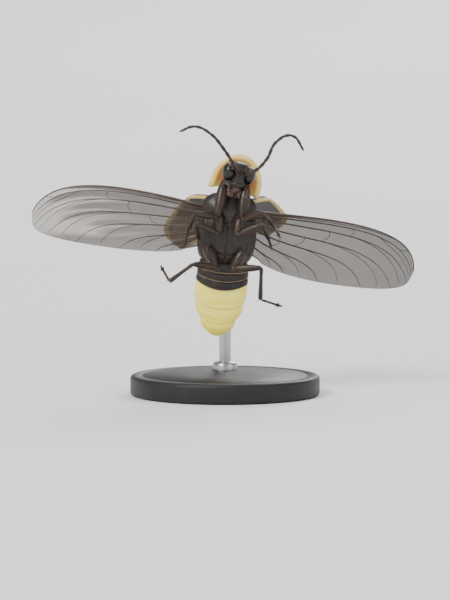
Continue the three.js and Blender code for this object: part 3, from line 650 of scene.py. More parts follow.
def ring_plate(i, side, thick=PLATE_THICK):
    """A plate round one side of a ring: side is 1 for the back and -1 for the belly."""
    front, hind, half, rise, drop, bow = RINGS[i]
    _, _, after_half, after_rise, after_drop, after_bow = (RINGS + [TAIL])[i + 1]
    height, after_height = (rise, after_rise) if side > 0 else (drop, after_drop)

    def place(u, v):
        angle = (2 * u - 1) * math.radians(PLATE_WRAP if i >= LIT or side > 0 else BELLY_WRAP)
        t = v * 1.3 - 0.35
        forward = np.clip(t, 0, 1)
        wide = mix(half, after_half, forward**2.2) + 0.03
        high = mix(height, after_height, forward**2.2 * (0.6 if i < LAST else 1))
        under = TUCK * (1 - ease(t, -0.3, 0.22))
        swell = 0.05 * np.sin(np.pi * forward) ** 2
        flare = 0.05 * ease(t, 0.7, 0.9) if i < LAST else 0
        x = (wide - under + swell * 0.5) * np.sin(angle)
        reach = np.sign(np.cos(angle)) * np.abs(np.cos(angle)) ** 0.85
        y = (high - under + swell + flare) * reach
        z = mix(front, hind, t) + mix(bow, after_bow, forward) * np.sin(angle) ** 2
        if i == LAST:
            z = z - 0.14 * ease(t, 0.4, 0.9) * (1 - np.sin(angle) ** 2)
        return np.stack([x, side * y, z], axis=1)

    plate = laid_out(28, 18, place)
    finished_with(plate, "SOLIDIFY", thickness=thick, offset=-side)
    return outwards(rounded(plate, 1))


def own_plan(material):
    return node(material, "UVMap", {}).outputs["UV"]


def channel(material, value, axis):
    return node(material, "SeparateXYZ", {"Vector": value}).outputs[axis]


def reckon(material, operation, *values):
    """A sum on single numbers."""
    return node(material, "Math", dict(enumerate(values)), operation=operation).outputs[0]


# the places of the colour sockets on a Mix node
MIX_SHARE = 0
MIX_FIRST = 6
MIX_SECOND = 7
MIX_RESULT = 2


def painted_over(material, share, color):
    """Lays another colour over a material's own, by a share."""
    shader = material.node_tree.nodes["Principled BSDF"]
    own = shader.inputs["Base Color"].links[0].from_socket
    inputs = {MIX_SHARE: share, MIX_FIRST: own, MIX_SECOND: color}
    blend = node(material, "Mix", inputs, data_type="RGBA")
    connect(material, "Base Color", blend.outputs[MIX_RESULT])


def hind_edge(material, start, end, strength):
    """A share that rises to its strength along the hind edge of a plate, and wavers a little."""
    down = channel(material, own_plan(material), "Y")
    wavering = reckon(material, "MULTIPLY_ADD", noise(material, 2200), 0.03, down)
    return ramp(material, wavering, [(start, (0, 0, 0)), (end, (strength,) * 3)])


soft_skin = clouded(
    "soft_skin",
    {"Roughness": 0.55, "Subsurface Weight": 0.15, "Subsurface Scale": 0.0004},
    1500,
    [(0.3, (0.05, 0.033, 0.027)), (0.7, (0.13, 0.09, 0.072))],
    [(noise, 7000, 0.00003)],
)
core_rings = [(8.1, 1.9, 0.9, 1.0)]
core_rings += [(front, half - 0.34, rise - 0.28, drop - 0.32) for front, _, half, rise, drop, _ in RINGS]
core_rings += [(1.1, 1.0, 0.18, 0.36), (0.85, 0.7, 0.1, 0.2)]
core = rounded(drawn_out(32, core_rings[::-1]), 1)
handed_over(core, "abdomen_skin", soft_skin)

ring_horn = horn("ring_horn", 0.1, 0.25)
pale_stops = [(0.3, (0.2, 0.13, 0.075)), (0.7, (0.36, 0.25, 0.15))]
pale_horn = ramp(ring_horn, noise(ring_horn, 1500), pale_stops)
painted_over(ring_horn, hind_edge(ring_horn, 0.93, 0.97, 1), pale_horn)

back_plates = [ring_plate(i, 1) for i in range(len(RINGS))]
belly_plates = [ring_plate(i, -1) for i in range(LIT)]
rings = joined(back_plates + belly_plates)
rings_hair = hairs(rings, 6500, length=0.14, thick=0.0065, lie=TAILWARD, rise=0.25, seed=12)
handed_over(rings_hair, "abdomen_hair", brown_hair)
handed_over(rings, "abdomen_rings", ring_horn, ["abdomen"])

# Light organ
# The last three belly plates. They are clear shell over a pale yellow, waxy tissue, smooth and a little
# swollen, with a faint grain and a few short pale hairs. The tissue carries a soft painted glow.
LIT_THICK = 0.12
LANTERN_PLATES = {"lit_plate_1": "lantern_front", "lit_plate_2": "lantern_rear", "lit_plate_3": "tail_plate"}

lantern_wax_painted_glow = clouded(
    "lantern_wax_painted_glow",
    {
        "Roughness": 0.38,
        "Subsurface Weight": 0.35,
        "Subsurface Scale": 0.0006,
        "Subsurface Radius": (1, 0.8, 0.35),
        "Coat Weight": 0.25,
        "Coat Roughness": 0.2,
        # painted glow: the pale tissue is given a soft yellow light of its own
        "Emission Color": (1, 0.86, 0.08, 1),
        "Emission Strength": 0.3,
    },
    1800,
    [(0.3, (0.85, 0.7, 0.06)), (0.55, (0.93, 0.83, 0.13)), (0.8, (0.95, 0.9, 0.25))],
    [(noise, 1800, 0.00003), (cells, 12000, 0.000005)],
)
painted_over(lantern_wax_painted_glow, hind_edge(lantern_wax_painted_glow, 0.945, 0.98, 0.75), (0.6, 0.42, 0.14, 1))
pale_hair = hair_color("pale_hair", (0.62, 0.5, 0.2), (0.85, 0.76, 0.42))


def on_the_belly(at, up):
    return (up[:, 1] < -0.1) * 1.0


for i, (name, replaced) in enumerate(LANTERN_PLATES.items()):
    plate = ring_plate(LIT + i, -1, LIT_THICK)
    plate_hair = hairs(
        plate, 260, length=0.12, thick=0.006, lie=TAILWARD, rise=0.3, seed=20 + i, where=on_the_belly
    )
    handed_over(plate_hair, name + "_hair", pale_hair)
    handed_over(plate, name, lantern_wax_painted_glow, [replaced])

# Hood
# The broad rounded shield over the head. It is a thin horny plate, domed in the middle and turned up at its
# rim, rose and pale yellow with a black spot down the middle, and the light comes through its edges.
HEADWARD = (0, 0, 1)
HOOD_BASE = 15.1
HOOD_LENGTH = 3.75
HOOD_WIDTH = 5.1
HOOD_CREST = 1.85
HOOD_RIM = 1.3
HOOD_CORNER = 0.5  # how far its hind corners reach back
HOOD_TURN = math.radians(9)
HOOD_SHIFT = 0.25
HOOD_PLAN = 6  # the side of the square that its plan is laid out in
HOOD_ROSE = ((0.5, 0.3), (0.29, 0.27), 0.45)  # on the plan: centre, half size and softness of its edge
HOOD_SPOT = ((0.5, 0.29), (0.1, 0.2), 0.1)
FORE = BODY @ Matrix.Translation((HOOD_SHIFT, 0, HOOD_BASE)) @ Matrix.Rotation(HOOD_TURN, 4, "Y")


def hood_edge(angle):
    """The hood's outline, x and z, by the angle from its front."""
    side = np.sin(angle)
    front = np.cos(angle)
    square = np.where(front > 0, 1.85, 5)
    reach = (np.abs(side) ** square + np.abs(front) ** square) ** (-1 / square)
    widest = HOOD_LENGTH * 0.22
    length = np.where(front > 0, HOOD_LENGTH - widest, widest)
    behind = np.maximum(0, -front)
    across = side * reach * (1 + 0.05 * behind)
    corner = HOOD_CORNER * np.abs(across) ** 4 * ease(behind, 0, 0.5)
    return across * HOOD_WIDTH / 2, widest + front * reach * length - corner


def hood_form(points, normals):
    out = np.arcsin(np.minimum(1, np.hypot(points[:, 0], points[:, 1]))) / (math.pi / 2)
    edge_x, edge_z = hood_edge(np.arctan2(points[:, 0], points[:, 1]))
    x = edge_x * out
    z = mix(HOOD_LENGTH * 0.3, edge_z, out)
    # the dome runs out to the hind edge like a tunnel and falls to the front and the sides
    dome_out = np.hypot(x / 2.1, np.maximum(0, z - 1.3) / 2.25)
    dome = (HOOD_CREST - HOOD_RIM) * (1 - ease(dome_out, 0.1, 1)) * (1 - 0.5 * ease(-z, -1.0, 0.1))
    slope = 0.6 * np.hypot(x / (HOOD_WIDTH / 2), np.maximum(0, z - 0.8) / (HOOD_LENGTH - 0.8)) ** 2
    groove = 0.1 * np.exp(-((x / 0.16) ** 2)) * (1 - out)
    bosses = 0.09 * np.exp(-(((np.abs(x) - 0.75) / 0.45) ** 2) - ((z - 1.0) / 0.7) ** 2)
    gutter = 0.07 * np.exp(-(((out - 0.8) / 0.08) ** 2))
    top = HOOD_RIM + dome - slope - groove + bosses - gutter + 0.14 * ease(out, 0.88, 1)
    thick = mix(0.5, 0.17, ease(out, 0.25, 0.75)) * np.sqrt(np.maximum(0, 1 - out**10))
    under = top - thick
    y = np.where(points[:, 2] > 0, top, under)
    y = np.where(np.abs(points[:, 2]) < 1e-5, (top + under) / 2, y)
    return np.stack([x, y, z], axis=1)


def blot(material, centre, size, soft):
    """1 inside an oval on a piece's plan, falling softly to 0 outside it."""
    plan = own_plan(material)
    away = 0
    for axis, middle, half_size in zip("XY", centre, size):
        aside = reckon(material, "SUBTRACT", channel(material, plan, axis), middle)
        share = reckon(material, "DIVIDE", aside, half_size)
        away = reckon(material, "MULTIPLY_ADD", share, share, away)
    ragged = reckon(material, "MULTIPLY_ADD", noise(material, 14, plan), 0.25, away)
    half = reckon(material, "MULTIPLY", ragged, 0.5)
    return ramp(material, half, [(0.56 - soft / 2, (1, 1, 1)), (0.56 + soft / 2, (0, 0, 0))])


rosy_shield = clouded(
    "rosy_shield",
    {
        "Roughness": 0.36,
        "Subsurface Weight": 0.25,
        "Subsurface Scale": 0.0005,
        "Subsurface Radius": (1, 0.55, 0.35),
        "Coat Weight": 0.2,
        "Coat Roughness": 0.25,
    },
    900,
    [(0.3, (0.8, 0.55, 0.12)), (0.7, (0.86, 0.66, 0.22))],
    [(noise, 3000, 0.000008), (cells, 7500, 0.000008)],
)
rose = ramp(rosy_shield, noise(rosy_shield, 1300), [(0.3, (0.7, 0.13, 0.05)), (0.7, (0.8, 0.25, 0.11))])
painted_over(rosy_shield, blot(rosy_shield, *HOOD_ROSE), rose)
painted_over(rosy_shield, blot(rosy_shield, *HOOD_SPOT), (0.012, 0.008, 0.007, 1))

# each hair's patch lies at its root's place on the hood's plan, so the spot's hairs can be dark
golden_hair = hair_color("golden_hair", (0.42, 0.29, 0.11), (0.68, 0.52, 0.27))
painted_over(golden_hair, blot(golden_hair, *HOOD_SPOT), (0.07, 0.05, 0.033, 1))


def mostly_on_top(at, up):
    return 0.1 + 1.0 * (up[:, 1] > 0)


def on_the_rim(at, up):
    return (np.abs(up[:, 1]) < 0.5) * 1.0


def away_from_middle(at):
    return at - np.array((0, 1, 1.1))


ball = fresh(bpy.ops.mesh.primitive_uv_sphere_add, segments=96, ring_count=72, radius=1)
hood = outwards(moved(ball, hood_form))
hood_points = read_points(hood.data)
plan = hood.data.uv_layers.active.uv
for loop in hood.data.loops:
    x, _, z = hood_points[loop.vertex_index]
    plan[loop.index].vector = (0.5 + x / HOOD_PLAN, 0.1 + z / HOOD_PLAN)
hood_hair = hairs(hood, 4200, length=0.12, thick=0.006, lie=HEADWARD, rise=0.3, seed=31, where=mostly_on_top)
rim_hair = hairs(
    hood, 1100, length=0.15, thick=0.007, lie=away_from_middle, rise=0.15, seed=32, where=on_the_rim
)
handed_over(joined([hood_hair, rim_hair]), "hood_hair", golden_hair, place=FORE)
handed_over(hood, "hood", rosy_shield, ["pronotum"], FORE)

# Breast of the fore body
# The short barrel under the hood from which the neck and the fore legs come: dark horny plates, with the
# soft folded skin of the neck in front of them.
BREAST_RINGS = [
    (-0.75, 1.1, 0.75, 0.6),
    (-0.4, 1.35, 0.9, 0.75),
    (-0.1, 1.5, 1.0, 0.84),
    (0.15, 1.6, 1.1, 0.9),
    (0.5, 1.55, 1.2, 0.78),
    (0.95, 1.4, 1.15, 0.45),
    (1.35, 1.1, 1.0, 0.2),
    (1.7, 0.8, 0.8, 0.05),
]
FORE_SEAMS = [
    [(0, -0.5), (0, 0.6)],
    [(-1.6, 0.45), (0, 0.75), (1.6, 0.45)],
    *mirrored([(0.9, -0.6), (1.2, 0.9)]),
]


def breast_form(points, normals):
    for line in FORE_SEAMS:
        points = seam(points, normals, line, width=0.07, depth=0.08, side=-1)
    return points


breast = moved(rounded(unwrapped(drawn_out(28, BREAST_RINGS)), 2), breast_form)
breast_hair = hairs(breast, 1400, length=0.14, thick=0.007, lie=TAILWARD, rise=0.3, seed=33)
handed_over(breast_hair, "fore_breast_hair", brown_hair, place=FORE)
handed_over(breast, "fore_breast", black_cuticle, ["prothorax"], FORE)

# Head
# Small and black, drawn back under the hood, with two huge eyes. The mouth has an upper lip and a pair of
# curved jaws that cross. The feelers stand in raised round sockets between the eyes.
HEAD_AT = (-0.12, -0.58, 2.1)
HEAD_TURN = math.radians(13)
HEAD = FORE @ Matrix.Translation(HEAD_AT) @ Matrix.Rotation(HEAD_TURN, 4, "Z")
SKULL_RINGS = [
    (-1.72, 0.3, -0.1, 0.8),
    (-1.6, 0.42, -0.05, 0.9),
    (-1.4, 0.54, 0.12, 0.99),
    (-1.1, 0.72, 0.35, 1.05),
    (-0.75, 0.95, 0.62, 1.08),
    (-0.35, 1.15, 0.9, 1.08),
    (0.1, 1.22, 0.97, 1.05),
    (0.5, 1.17, 0.9, 0.98),
    (0.82, 1.0, 0.76, 0.8),
    (1.03, 0.72, 0.6, 0.56),
    (1.15, 0.38, 0.42, 0.3),
]
LIP_RINGS = [
    (-1.98, 0.16, 0.02, 0.05),
    (-1.93, 0.3, 0.05, 0.1),
    (-1.7, 0.38, 0.1, 0.2),
    (-1.45, 0.42, 0.1, 0.26),
    (-1.25, 0.36, 0.1, 0.2),
]
NECK_RINGS = [
    (-1.9, 0.72, 0.8, 0.1),
    (-1.4, 0.78, 0.85, 0.2),
    (-0.6, 0.85, 0.85, 0.35),
    (0.1, 0.85, 0.8, 0.3),
]
FACE_PINCH = 0.36  # how much narrower the skull is between the eyes than behind them
FACE_SEAMS = [
    ([(-0.6, -0.95), (-0.3, -0.82), (0.3, -0.82), (0.6, -0.95)], 0.06),
    ([(0, 0.1), (0, 0.8)], 0.03),
]
EYE_AT = Vector((1.08, -0.27, 0.02))
EYE_HALF = Vector((0.63, 0.8, 0.9))
SOCKET = Vector((0.36, -1.0, 0.35))
SOCKET_RING = [(-0.1, 0.28), (0.0, 0.3), (0.1, 0.305), (0.17, 0.28), (0.19, 0.24), (0.13, 0.2), (0.1, 0.1)]
JAW = [(0, 0.2), (0.25, 0.2), (0.5, 0.17), (0.75, 0.12), (0.92, 0.07), (1, 0.015)]


def skull_form(points, normals):
    pinch = FACE_PINCH * ease(points[:, 2], -1.1, -0.3) * ease(-points[:, 1], 0.1, 0.95)
    points = points * np.stack([1 - pinch, np.ones(len(points)), np.ones(len(points))], axis=1)
    for side in (-1, 1):
        eye = np.array((side * EYE_AT.x, EYE_AT.y, EYE_AT.z))
        away = np.linalg.norm((points - eye) / np.array(EYE_HALF), axis=1)
        points = points - normals * (0.1 * np.exp(-(((away - 1.08) / 0.07) ** 2)))[:, None]
        points = swelling(points, normals, (side * 0.36, -1.05, 0.35), (0.3, 0.5, 0.28), 0.08)
        points = swelling(points, normals, (side * 0.45, -1.0, -1.1), (0.25, 0.4, 0.3), 0.06)
    points = swelling(points, normals, (0, -1.1, -0.5), (0.4, 0.5, 0.5), 0.07)
    points = swelling(points, normals, (0, -1.0, 0.75), (0.3, 0.6, 0.4), -0.06)
    for line, depth in FACE_SEAMS:
        points = seam(points, normals, line, width=0.05, depth=depth, side=-1)
    return points


mouth_horn = clouded(
    "mouth_horn",
    {"Roughness": 0.3, "Coat Weight": 0.15, "Coat Roughness": 0.2},
    1800,
    [(0.3, (0.028, 0.011, 0.006)), (0.7, (0.08, 0.031, 0.014))],
    [(noise, 5000, 0.00001)],
)

head_parts = [moved(rounded(unwrapped(drawn_out(32, SKULL_RINGS)), 3), skull_form)]
mouth_parts = [rounded(shifted(drawn_out(20, LIP_RINGS), 0, -0.84, 0), 2)]
for side in (-1, 1):
    ring = turned(24, SOCKET_RING)
    socket_place = (side * SOCKET.x, SOCKET.y, SOCKET.z)
    ring.data.transform(pointing(socket_place, Vector((side * 0.12, -1, 0.15))))
    head_parts.append(rounded(ring, 1))
    jaw_path = [
        (side * 0.33, -0.7, -1.4),
        (side * 0.43, -0.88, -1.85),
        (side * 0.28, -0.97, -2.1),
        (side * -0.1, -1.02 - 0.06 * side, -2.22),
    ]
    mouth_parts.append(rounded(bent_along(turned(16, JAW), jaw_path), 1))
neck = shifted(rounded(drawn_out(24, NECK_RINGS), 1), 0.1, 0.35, 0)
handed_over(neck, "neck_skin", soft_skin, place=HEAD)
handed_over(joined(mouth_parts), "mouth", mouth_horn, place=HEAD)
skull = joined(head_parts)
skull_hair = hairs(skull, 1500, length=0.11, thick=0.006, lie=(0, -0.4, -1), rise=0.4, seed=41)
handed_over(skull_hair, "skull_hair", brown_hair, place=HEAD)
handed_over(skull, "skull", black_cuticle, ["head"], HEAD)

# Eyes
# Each is a black ball of some 2,500 tiny lenses, nearly all of them six-sided and each a little swollen. It
# is sunk about half way into the side of the skull, inside a narrow groove.
SIDES = {"right": -1, "left": 1}  # the insect's own right side is at -X

eye_lens = clouded(
    "eye_lens",
    {"Roughness": 0.16, "Specular IOR Level": 0.35, "Coat Weight": 0.35, "Coat Roughness": 0.05},
    900,
    [(0.35, (0.0015, 0.0013, 0.0015)), (0.7, (0.006, 0.004, 0.0035))],
)

for word, side in SIDES.items():
    eye = fresh(bpy.ops.mesh.primitive_ico_sphere_add, subdivisions=5, radius=1)
    opened(eye)
    bpy.ops.mesh.bevel(affect="VERTICES", offset_type="PERCENT", offset_pct=40, segments=1)
    bpy.ops.mesh.select_all(action="DESELECT")
    bpy.ops.mesh.select_face_by_sides(number=4, type="GREATER")
    bpy.ops.mesh.inset(thickness=0.006, depth=0.0025, use_individual=True)
    bpy.ops.object.mode_set(mode="OBJECT")
    eye_place = Matrix.Translation((side * EYE_AT.x, EYE_AT.y, EYE_AT.z))
    eye.data.transform(eye_place @ Matrix.Diagonal((*EYE_HALF, 1)))
    handed_over(eye, "eye_dome_" + word, eye_lens, ["eye_" + word], HEAD)

# Feelers and palps
# A feeler has eleven joints: a long first one, a short second, then nine alike, each narrow at its root and
# widest near its end. They are dark brown with bristly hair. The palps are short bare feelers of the mouth,
# two pairs of them, and the outer pair's last joint is the widest.
FEELER_JOINTS = [1.5, 0.6, 1, 1, 1, 1, 1, 1, 1, 1, 1.1]
FEELER_THICK = 0.2
FEELER_TIP = 0.14
FEELER_PATHS = {
    "right": [
        (-1.05, -2.0, 0.95),
        (-2.7, -2.3, 2.5),
        (-4.5, -2.1, 3.75),
        (-6.0, -1.7, 4.0),
        (-7.3, -1.4, 3.1),
    ],
    "left": [
        (1.0, -1.9, 0.95),
        (1.9, -1.75, 2.3),
        (2.5, -1.3, 4.1),
        (4.0, -0.8, 5.0),
        (5.85, -0.3, 3.65),
    ],
}
OUTER_PATH = [(0.75, -0.85, -1.2), (0.9, -1.25, -1.3), (0.95, -1.55, -1.6), (0.75, -1.62, -2.2)]
INNER_PATH = [(0.3, -0.7, -1.6), (0.42, -1.0, -1.95), (0.4, -1.15, -2.35)]
PALPS = [
    # lengths of the joints, thickness of the first and of the last, path on the left side
    ([0.6, 0.9, 0.8, 1.4], 0.15, 0.21, OUTER_PATH),
    ([0.6, 0.8, 0.9], 0.09, 0.12, INNER_PATH),
]
JOINT = [(-0.04, 0.5), (0.03, 0.64), (0.2, 0.82), (0.55, 0.95), (0.84, 1), (0.96, 0.88), (1, 0.66)]
END_JOINT = [(-0.04, 0.5), (0.03, 0.66), (0.3, 0.95), (0.6, 0.85), (0.85, 0.55), (0.97, 0.25), (1, 0.1)]

brown_cuticle = clouded(
    "brown_cuticle",
    {"Roughness": 0.38, "Specular IOR Level": 0.4, "Coat Weight": 0.1, "Coat Roughness": 0.3},
    900,
    [(0.3, (0.011, 0.0055, 0.0035)), (0.75, (0.036, 0.017, 0.009))],
    [(noise, 4000, 0.00001), (cells, 14000, 0.000008)],
)
dark_hair = hair_color("dark_hair", (0.035, 0.02, 0.012), (0.12, 0.078, 0.046))


def feeler_of(lengths, thick, end, path):
    """Separate joints, each narrow at its root and widest near its end, bent along a path."""
    whole = sum(lengths)
    start = 0
    joints = []
    for i, length in enumerate(lengths):
        width = mix(thick, end, i / (len(lengths) - 1))
        shares = JOINT if i < len(lengths) - 1 else END_JOINT
        profile = [((start + share * length) / whole, width * wide) for share, wide in shares]
        joints.append(turned(12, profile))
        start += length
    return rounded(bent_along(joined(joints), path), 1)


for word, side in SIDES.items():
    root = Vector((side * SOCKET.x, SOCKET.y - 0.02, SOCKET.z))
    knots = [root, root + Vector((side * 0.08, -0.45, 0.1))] + [Vector(point) for point in FEELER_PATHS[word]]
    feeler = unwrapped(feeler_of(FEELER_JOINTS, FEELER_THICK, FEELER_TIP, knots))
    outward = knots[-1] - knots[1]
    feeler_hair = hairs(feeler, 4200, length=0.11, thick=0.0055, lie=outward, rise=0.35, seed=51 + side)
    handed_over(feeler_hair, "feeler_hair_" + word, dark_hair, place=HEAD)
    handed_over(feeler, "feeler_" + word, brown_cuticle, ["antenna_" + word], HEAD)
    palps = []
    for lengths, thick, end, path in PALPS:
        palps.append(feeler_of(lengths, thick, end, [(side * x, y, z) for x, y, z in path]))
    handed_over(joined(palps), "palps_" + word, mouth_horn, ["palp_" + word], HEAD)

# Legs
# Six slender legs. Each is a cone at the body, a small ring, a flattened thigh, a thin shank with two short
# spurs, a foot of five small joints of which the fourth has two lobes, and a pair of curved claws.
FROM_BODY = BODY.inverted()
OVER_THE_HEAD = Vector((0, 0, 20))  # every hip's root is nearer to this place than its tip
END_SHARE = 0.12  # of a limb's length, whose points give the place of its end
ROOT_SUNK = 0.2  # the share of a hip's length that is hidden in the body
COXA = [(-0.15, 0.42), (0, 0.52), (0.2, 0.6), (0.45, 0.55), (0.72, 0.43), (0.9, 0.33), (1, 0.2)]
SMALL_RING = [(-0.2, 0.14), (0.1, 0.26), (0.5, 0.29), (0.9, 0.24), (1.1, 0.14)]
THIGH = [(-0.02, 0.14), (0.05, 0.25), (0.22, 0.34), (0.45, 0.38)]
THIGH += [(0.68, 0.34), (0.86, 0.26), (0.95, 0.24), (1, 0.15)]
SHANK = [(-0.02, 0.1), (0.03, 0.19), (0.1, 0.2), (0.2, 0.17)]
SHANK += [(0.5, 0.18), (0.8, 0.22), (0.95, 0.25), (1, 0.16)]
SPUR = [(0, 0.05), (0.4, 0.04), (0.8, 0.02), (1, 0.006)]
FOOT_JOINTS = [(0, 0.3, 0.15), (0.27, 0.5, 0.145), (0.47, 0.65, 0.14), (0.62, 0.76, 0.12)]
LOBE = [(0, 0.04), (0.2, 0.09), (0.65, 0.13), (0.9, 0.1), (1, 0.04)]
HEEL_JOINT = [(0, 0.06), (0.15, 0.07), (0.6, 0.09), (0.9, 0.12), (1, 0.08)]
CLAW = [(0, 0.06), (0.3, 0.055), (0.65, 0.035), (1, 0.008)]
CLAW_SIZE = 0.3


def limb_ends(node_name, near):
    """The two ends of a CAD limb's own axis, in the body's frame, the one nearer to a point first."""
    points = np.array([FROM_BODY @ v.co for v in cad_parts[node_name].data.vertices])
    centred = points - points.mean(axis=0)
    along = centred @ np.linalg.svd(centred, full_matrices=False)[2][0]
    low = points[along < mix(along.min(), along.max(), END_SHARE)].mean(axis=0)
    high = points[along > mix(along.min(), along.max(), 1 - END_SHARE)].mean(axis=0)
    return sorted([Vector(low), Vector(high)], key=lambda end: (end - near).length)


def across_of(along):
    return along.cross(Vector((0, -1, 0))).normalized()


def straight_joint(profile, start, end, thin=1, sides=16):
    """A joint from start to end. Its profile's heights are shares of its length. thin makes it flatter."""
    joint = rounded(unwrapped(turned(sides, profile)), 1)
    along = end - start
    across = across_of(along)
    over = along.normalized().cross(across)
    turn = Matrix((across, over, along.normalized())).transposed().to_4x4()
    joint.data.transform(Matrix.Translation(start) @ turn @ Matrix.Diagonal((1, thin, along.length, 1)))
    return joint


def claw(start, way, curl):
    middle = start + (way * 0.6 + curl * 0.15) * CLAW_SIZE
    tip = start + (way * 0.75 + curl * 0.7) * CLAW_SIZE
    return unwrapped(rounded(bent_along(turned(8, CLAW), [start, middle, tip]), 1))


def foot_of(ankle, toe):
    along = (toe - ankle).normalized()
    across = across_of(along)
    down = along.cross(across)
    tip = ankle.lerp(toe, 0.93)
    joints = []
    for start, end, wide in FOOT_JOINTS:
        shape = [(-0.1, 0.06), (0.1, 0.08), (0.7, wide), (0.92, wide * 0.9), (1, wide * 0.5)]
        joints.append(straight_joint(shape, ankle.lerp(toe, start), ankle.lerp(toe, end), 0.8, 12))
    for side in (-1, 1):
        spread = across * side * 0.13
        lobe_root = ankle.lerp(toe, 0.68) + spread * 0.3
        joints.append(straight_joint(LOBE, lobe_root, ankle.lerp(toe, 0.84) + spread, 0.7, 12))
    joints.append(straight_joint(HEEL_JOINT, ankle.lerp(toe, 0.7), tip, 1, 12))
    for side in (-1, 1):
        joints.append(claw(tip, along + across * side * 0.5, down + across * side * 0.3))
    return joints


for pair in ("fore", "mid", "hind"):
    for word, side in SIDES.items():
        leg = pair + "_" + word
        coxa_root, coxa_tip = limb_ends("coxa_" + leg, OVER_THE_HEAD)
        coxa_root += (coxa_root - coxa_tip) * ROOT_SUNK
        thigh_root, thigh_tip = limb_ends("femur_" + leg, coxa_tip)
        shank_root, shank_tip = limb_ends("tibia_" + leg, thigh_tip)
        foot_root, foot_tip = limb_ends("tarsus_" + leg, shank_tip)
        hip = coxa_tip.lerp(thigh_root, 0.5)
        knee = thigh_tip.lerp(shank_root, 0.5)
        ankle = shank_tip.lerp(foot_root, 0.5)
        toe = foot_tip + (foot_tip - foot_root).normalized() * 0.1
        along_thigh = (knee - hip).normalized()
        along_shank = (ankle - knee).normalized()
        parts = [
            straight_joint(COXA, coxa_root, hip, 0.95),
            straight_joint(SMALL_RING, hip, hip + along_thigh * 0.5),
            straight_joint(THIGH, hip + along_thigh * 0.25, knee, 0.78),
            straight_joint(SHANK, knee, ankle, 0.9),
        ]
        for spur_side in (-1, 1):
            aside = across_of(along_shank) * spur_side
            spur_root = ankle - along_shank * 0.1 + aside * 0.13
            parts.append(straight_joint(SPUR, spur_root, ankle + along_shank * 0.28 + aside * 0.24, 1, 8))
        limb = joined(parts + foot_of(ankle, toe))
        seed = 61 + side + len(pair)
        limb_hair = hairs(limb, 3600, length=0.11, thick=0.006, lie=foot_tip - hip, rise=0.35, seed=seed)
        handed_over(limb_hair, "leg_hair_" + leg, dark_hair)
        nodes = [part + leg for part in ("coxa_", "femur_", "tibia_", "tarsus_")]
        handed_over(limb, "leg_" + leg, brown_cuticle, nodes)

# Hind wings
# The wings that fly: a clear smoky skin a few hundredths of a millimetre thick, softly pleated like a fan,
# and held out by brown veins that branch and thin out towards the margin.
WING_LENGTH = 17.5
WING_ROOT = 3.9  # its width at the root
WING_FRONT = 1.9  # how far the leading edge starts headwards of the hinge
WING_BEND = 1.5
WING_SUNK = -0.035  # how far the skin and its veins run into the trunk, as a share of the wing
MEMBRANE = 0.035
PLEATS = 0.12
FOLDS = 0.05
WING_CORNERS = [(1, 0), (0.965, -0.094), (0.8, -0.151), (0.48, -0.191), (0.24, -0.194), (0.1, -0.174)]
WING_MARGIN = WING_LENGTH * np.array(WING_CORNERS)
VEINS = [0, 0.075, 0.165, 0.31, 0.46, 0.62, 0.8, 1]
VEIN_STEPS = 28
EDGE_VEIN = (0.15, 0.055)  # the radius at its root and at its end, of the vein on the leading edge
MAIN_VEIN = (0.1, 0.028)
BRANCH_VEIN = (0.048, 0.026)
BRANCHES = [
    # corners: the place between the leading edge and the last vein, and the way out to the margin
    [(0.02, 0.0), (0.045, 0.3), (0.03, 0.62), (0.0, 0.72)],
    [(0.165, 0.5), (0.19, 0.7), (0.235, 0.97)],
    [(0.31, 0.42), (0.345, 0.65), (0.385, 0.97)],
    [(0.46, 0.38), (0.5, 0.62), (0.54, 0.97)],
    [(0.62, 0.34), (0.665, 0.6), (0.71, 0.97)],
    [(0.8, 0.3), (0.85, 0.6), (0.9, 0.97)],
    [(0.075, 0.47), (0.12, 0.49), (0.165, 0.48)],
    [(0.165, 0.37), (0.24, 0.395), (0.31, 0.385)],
    [(0.31, 0.29), (0.39, 0.31), (0.46, 0.295)],
    [(0.46, 0.2), (0.54, 0.225), (0.62, 0.215)],
    [(0.0, 0.84), (0.04, 0.82), (0.075, 0.79)],
    [(0.075, 0.62), (0.11, 0.74), (0.12, 0.97)],
]
WING_AT = Vector((2.55, 0.62, 11.35))
WINGS = {"right": (2.2, 7, 32), "left": (11.3, 7, 3)}  # degrees that each is swept, lifted and twisted


def curve_through(corners, share):
    """Points on a smooth curve through corners."""
    last = len(corners) - 1
    place = share * last
    i = np.minimum(np.floor(place).astype(int), last - 1)
    t = (place - i)[:, None]
    before, start, end, after = (corners[np.clip(i + k, 0, last)] for k in (-1, 0, 1, 2))
    out = (end - before) / 2
    into = (after - start) / 2
    gap = end - start
    return start + out * t + (3 * gap - 2 * out - into) * t**2 + (out + into - 2 * gap) * t**3


def wing_points(q, t):
    """Points of the wing's middle surface: q is 0 on the leading edge and 1 on the last vein, t runs out."""
    root = np.stack([0 * q, WING_FRONT - WING_ROOT * q], axis=1)
    end = curve_through(WING_MARGIN, q)
    length = np.linalg.norm(end - root, axis=1)
    edge = (1 - q) ** 8  # 1 on the leading edge, which bends round into the tip
    leave = np.radians(mix(9.5, -58, q**1.25))
    arrive = np.radians(mix(-56, -66, q) - 22 * edge)
    pull = (mix(0.35, 0.28, q) - 0.06 * edge) * length
    first = root + (0.38 * length)[:, None] * np.stack([np.cos(leave), np.sin(leave)], axis=1)
    second = end - pull[:, None] * np.stack([np.cos(arrive), np.sin(arrive)], axis=1)
    x, y = bezier((root, first, second, end), t[:, None]).T
    along = x / WING_LENGTH
    pleats = PLEATS * np.sin(y * 2.1) * (1 - along)
    folds = FOLDS * np.sin(q * 47 + 2 * along) * np.sin(np.pi * np.clip(t, 0, 1)) * (1 - 0.5 * along)
    height = WING_BEND * along**2 - 0.035 * (y - 0.4) ** 2 * (1 - 0.4 * along) + pleats + folds
    return np.stack([x, height, y], axis=1)


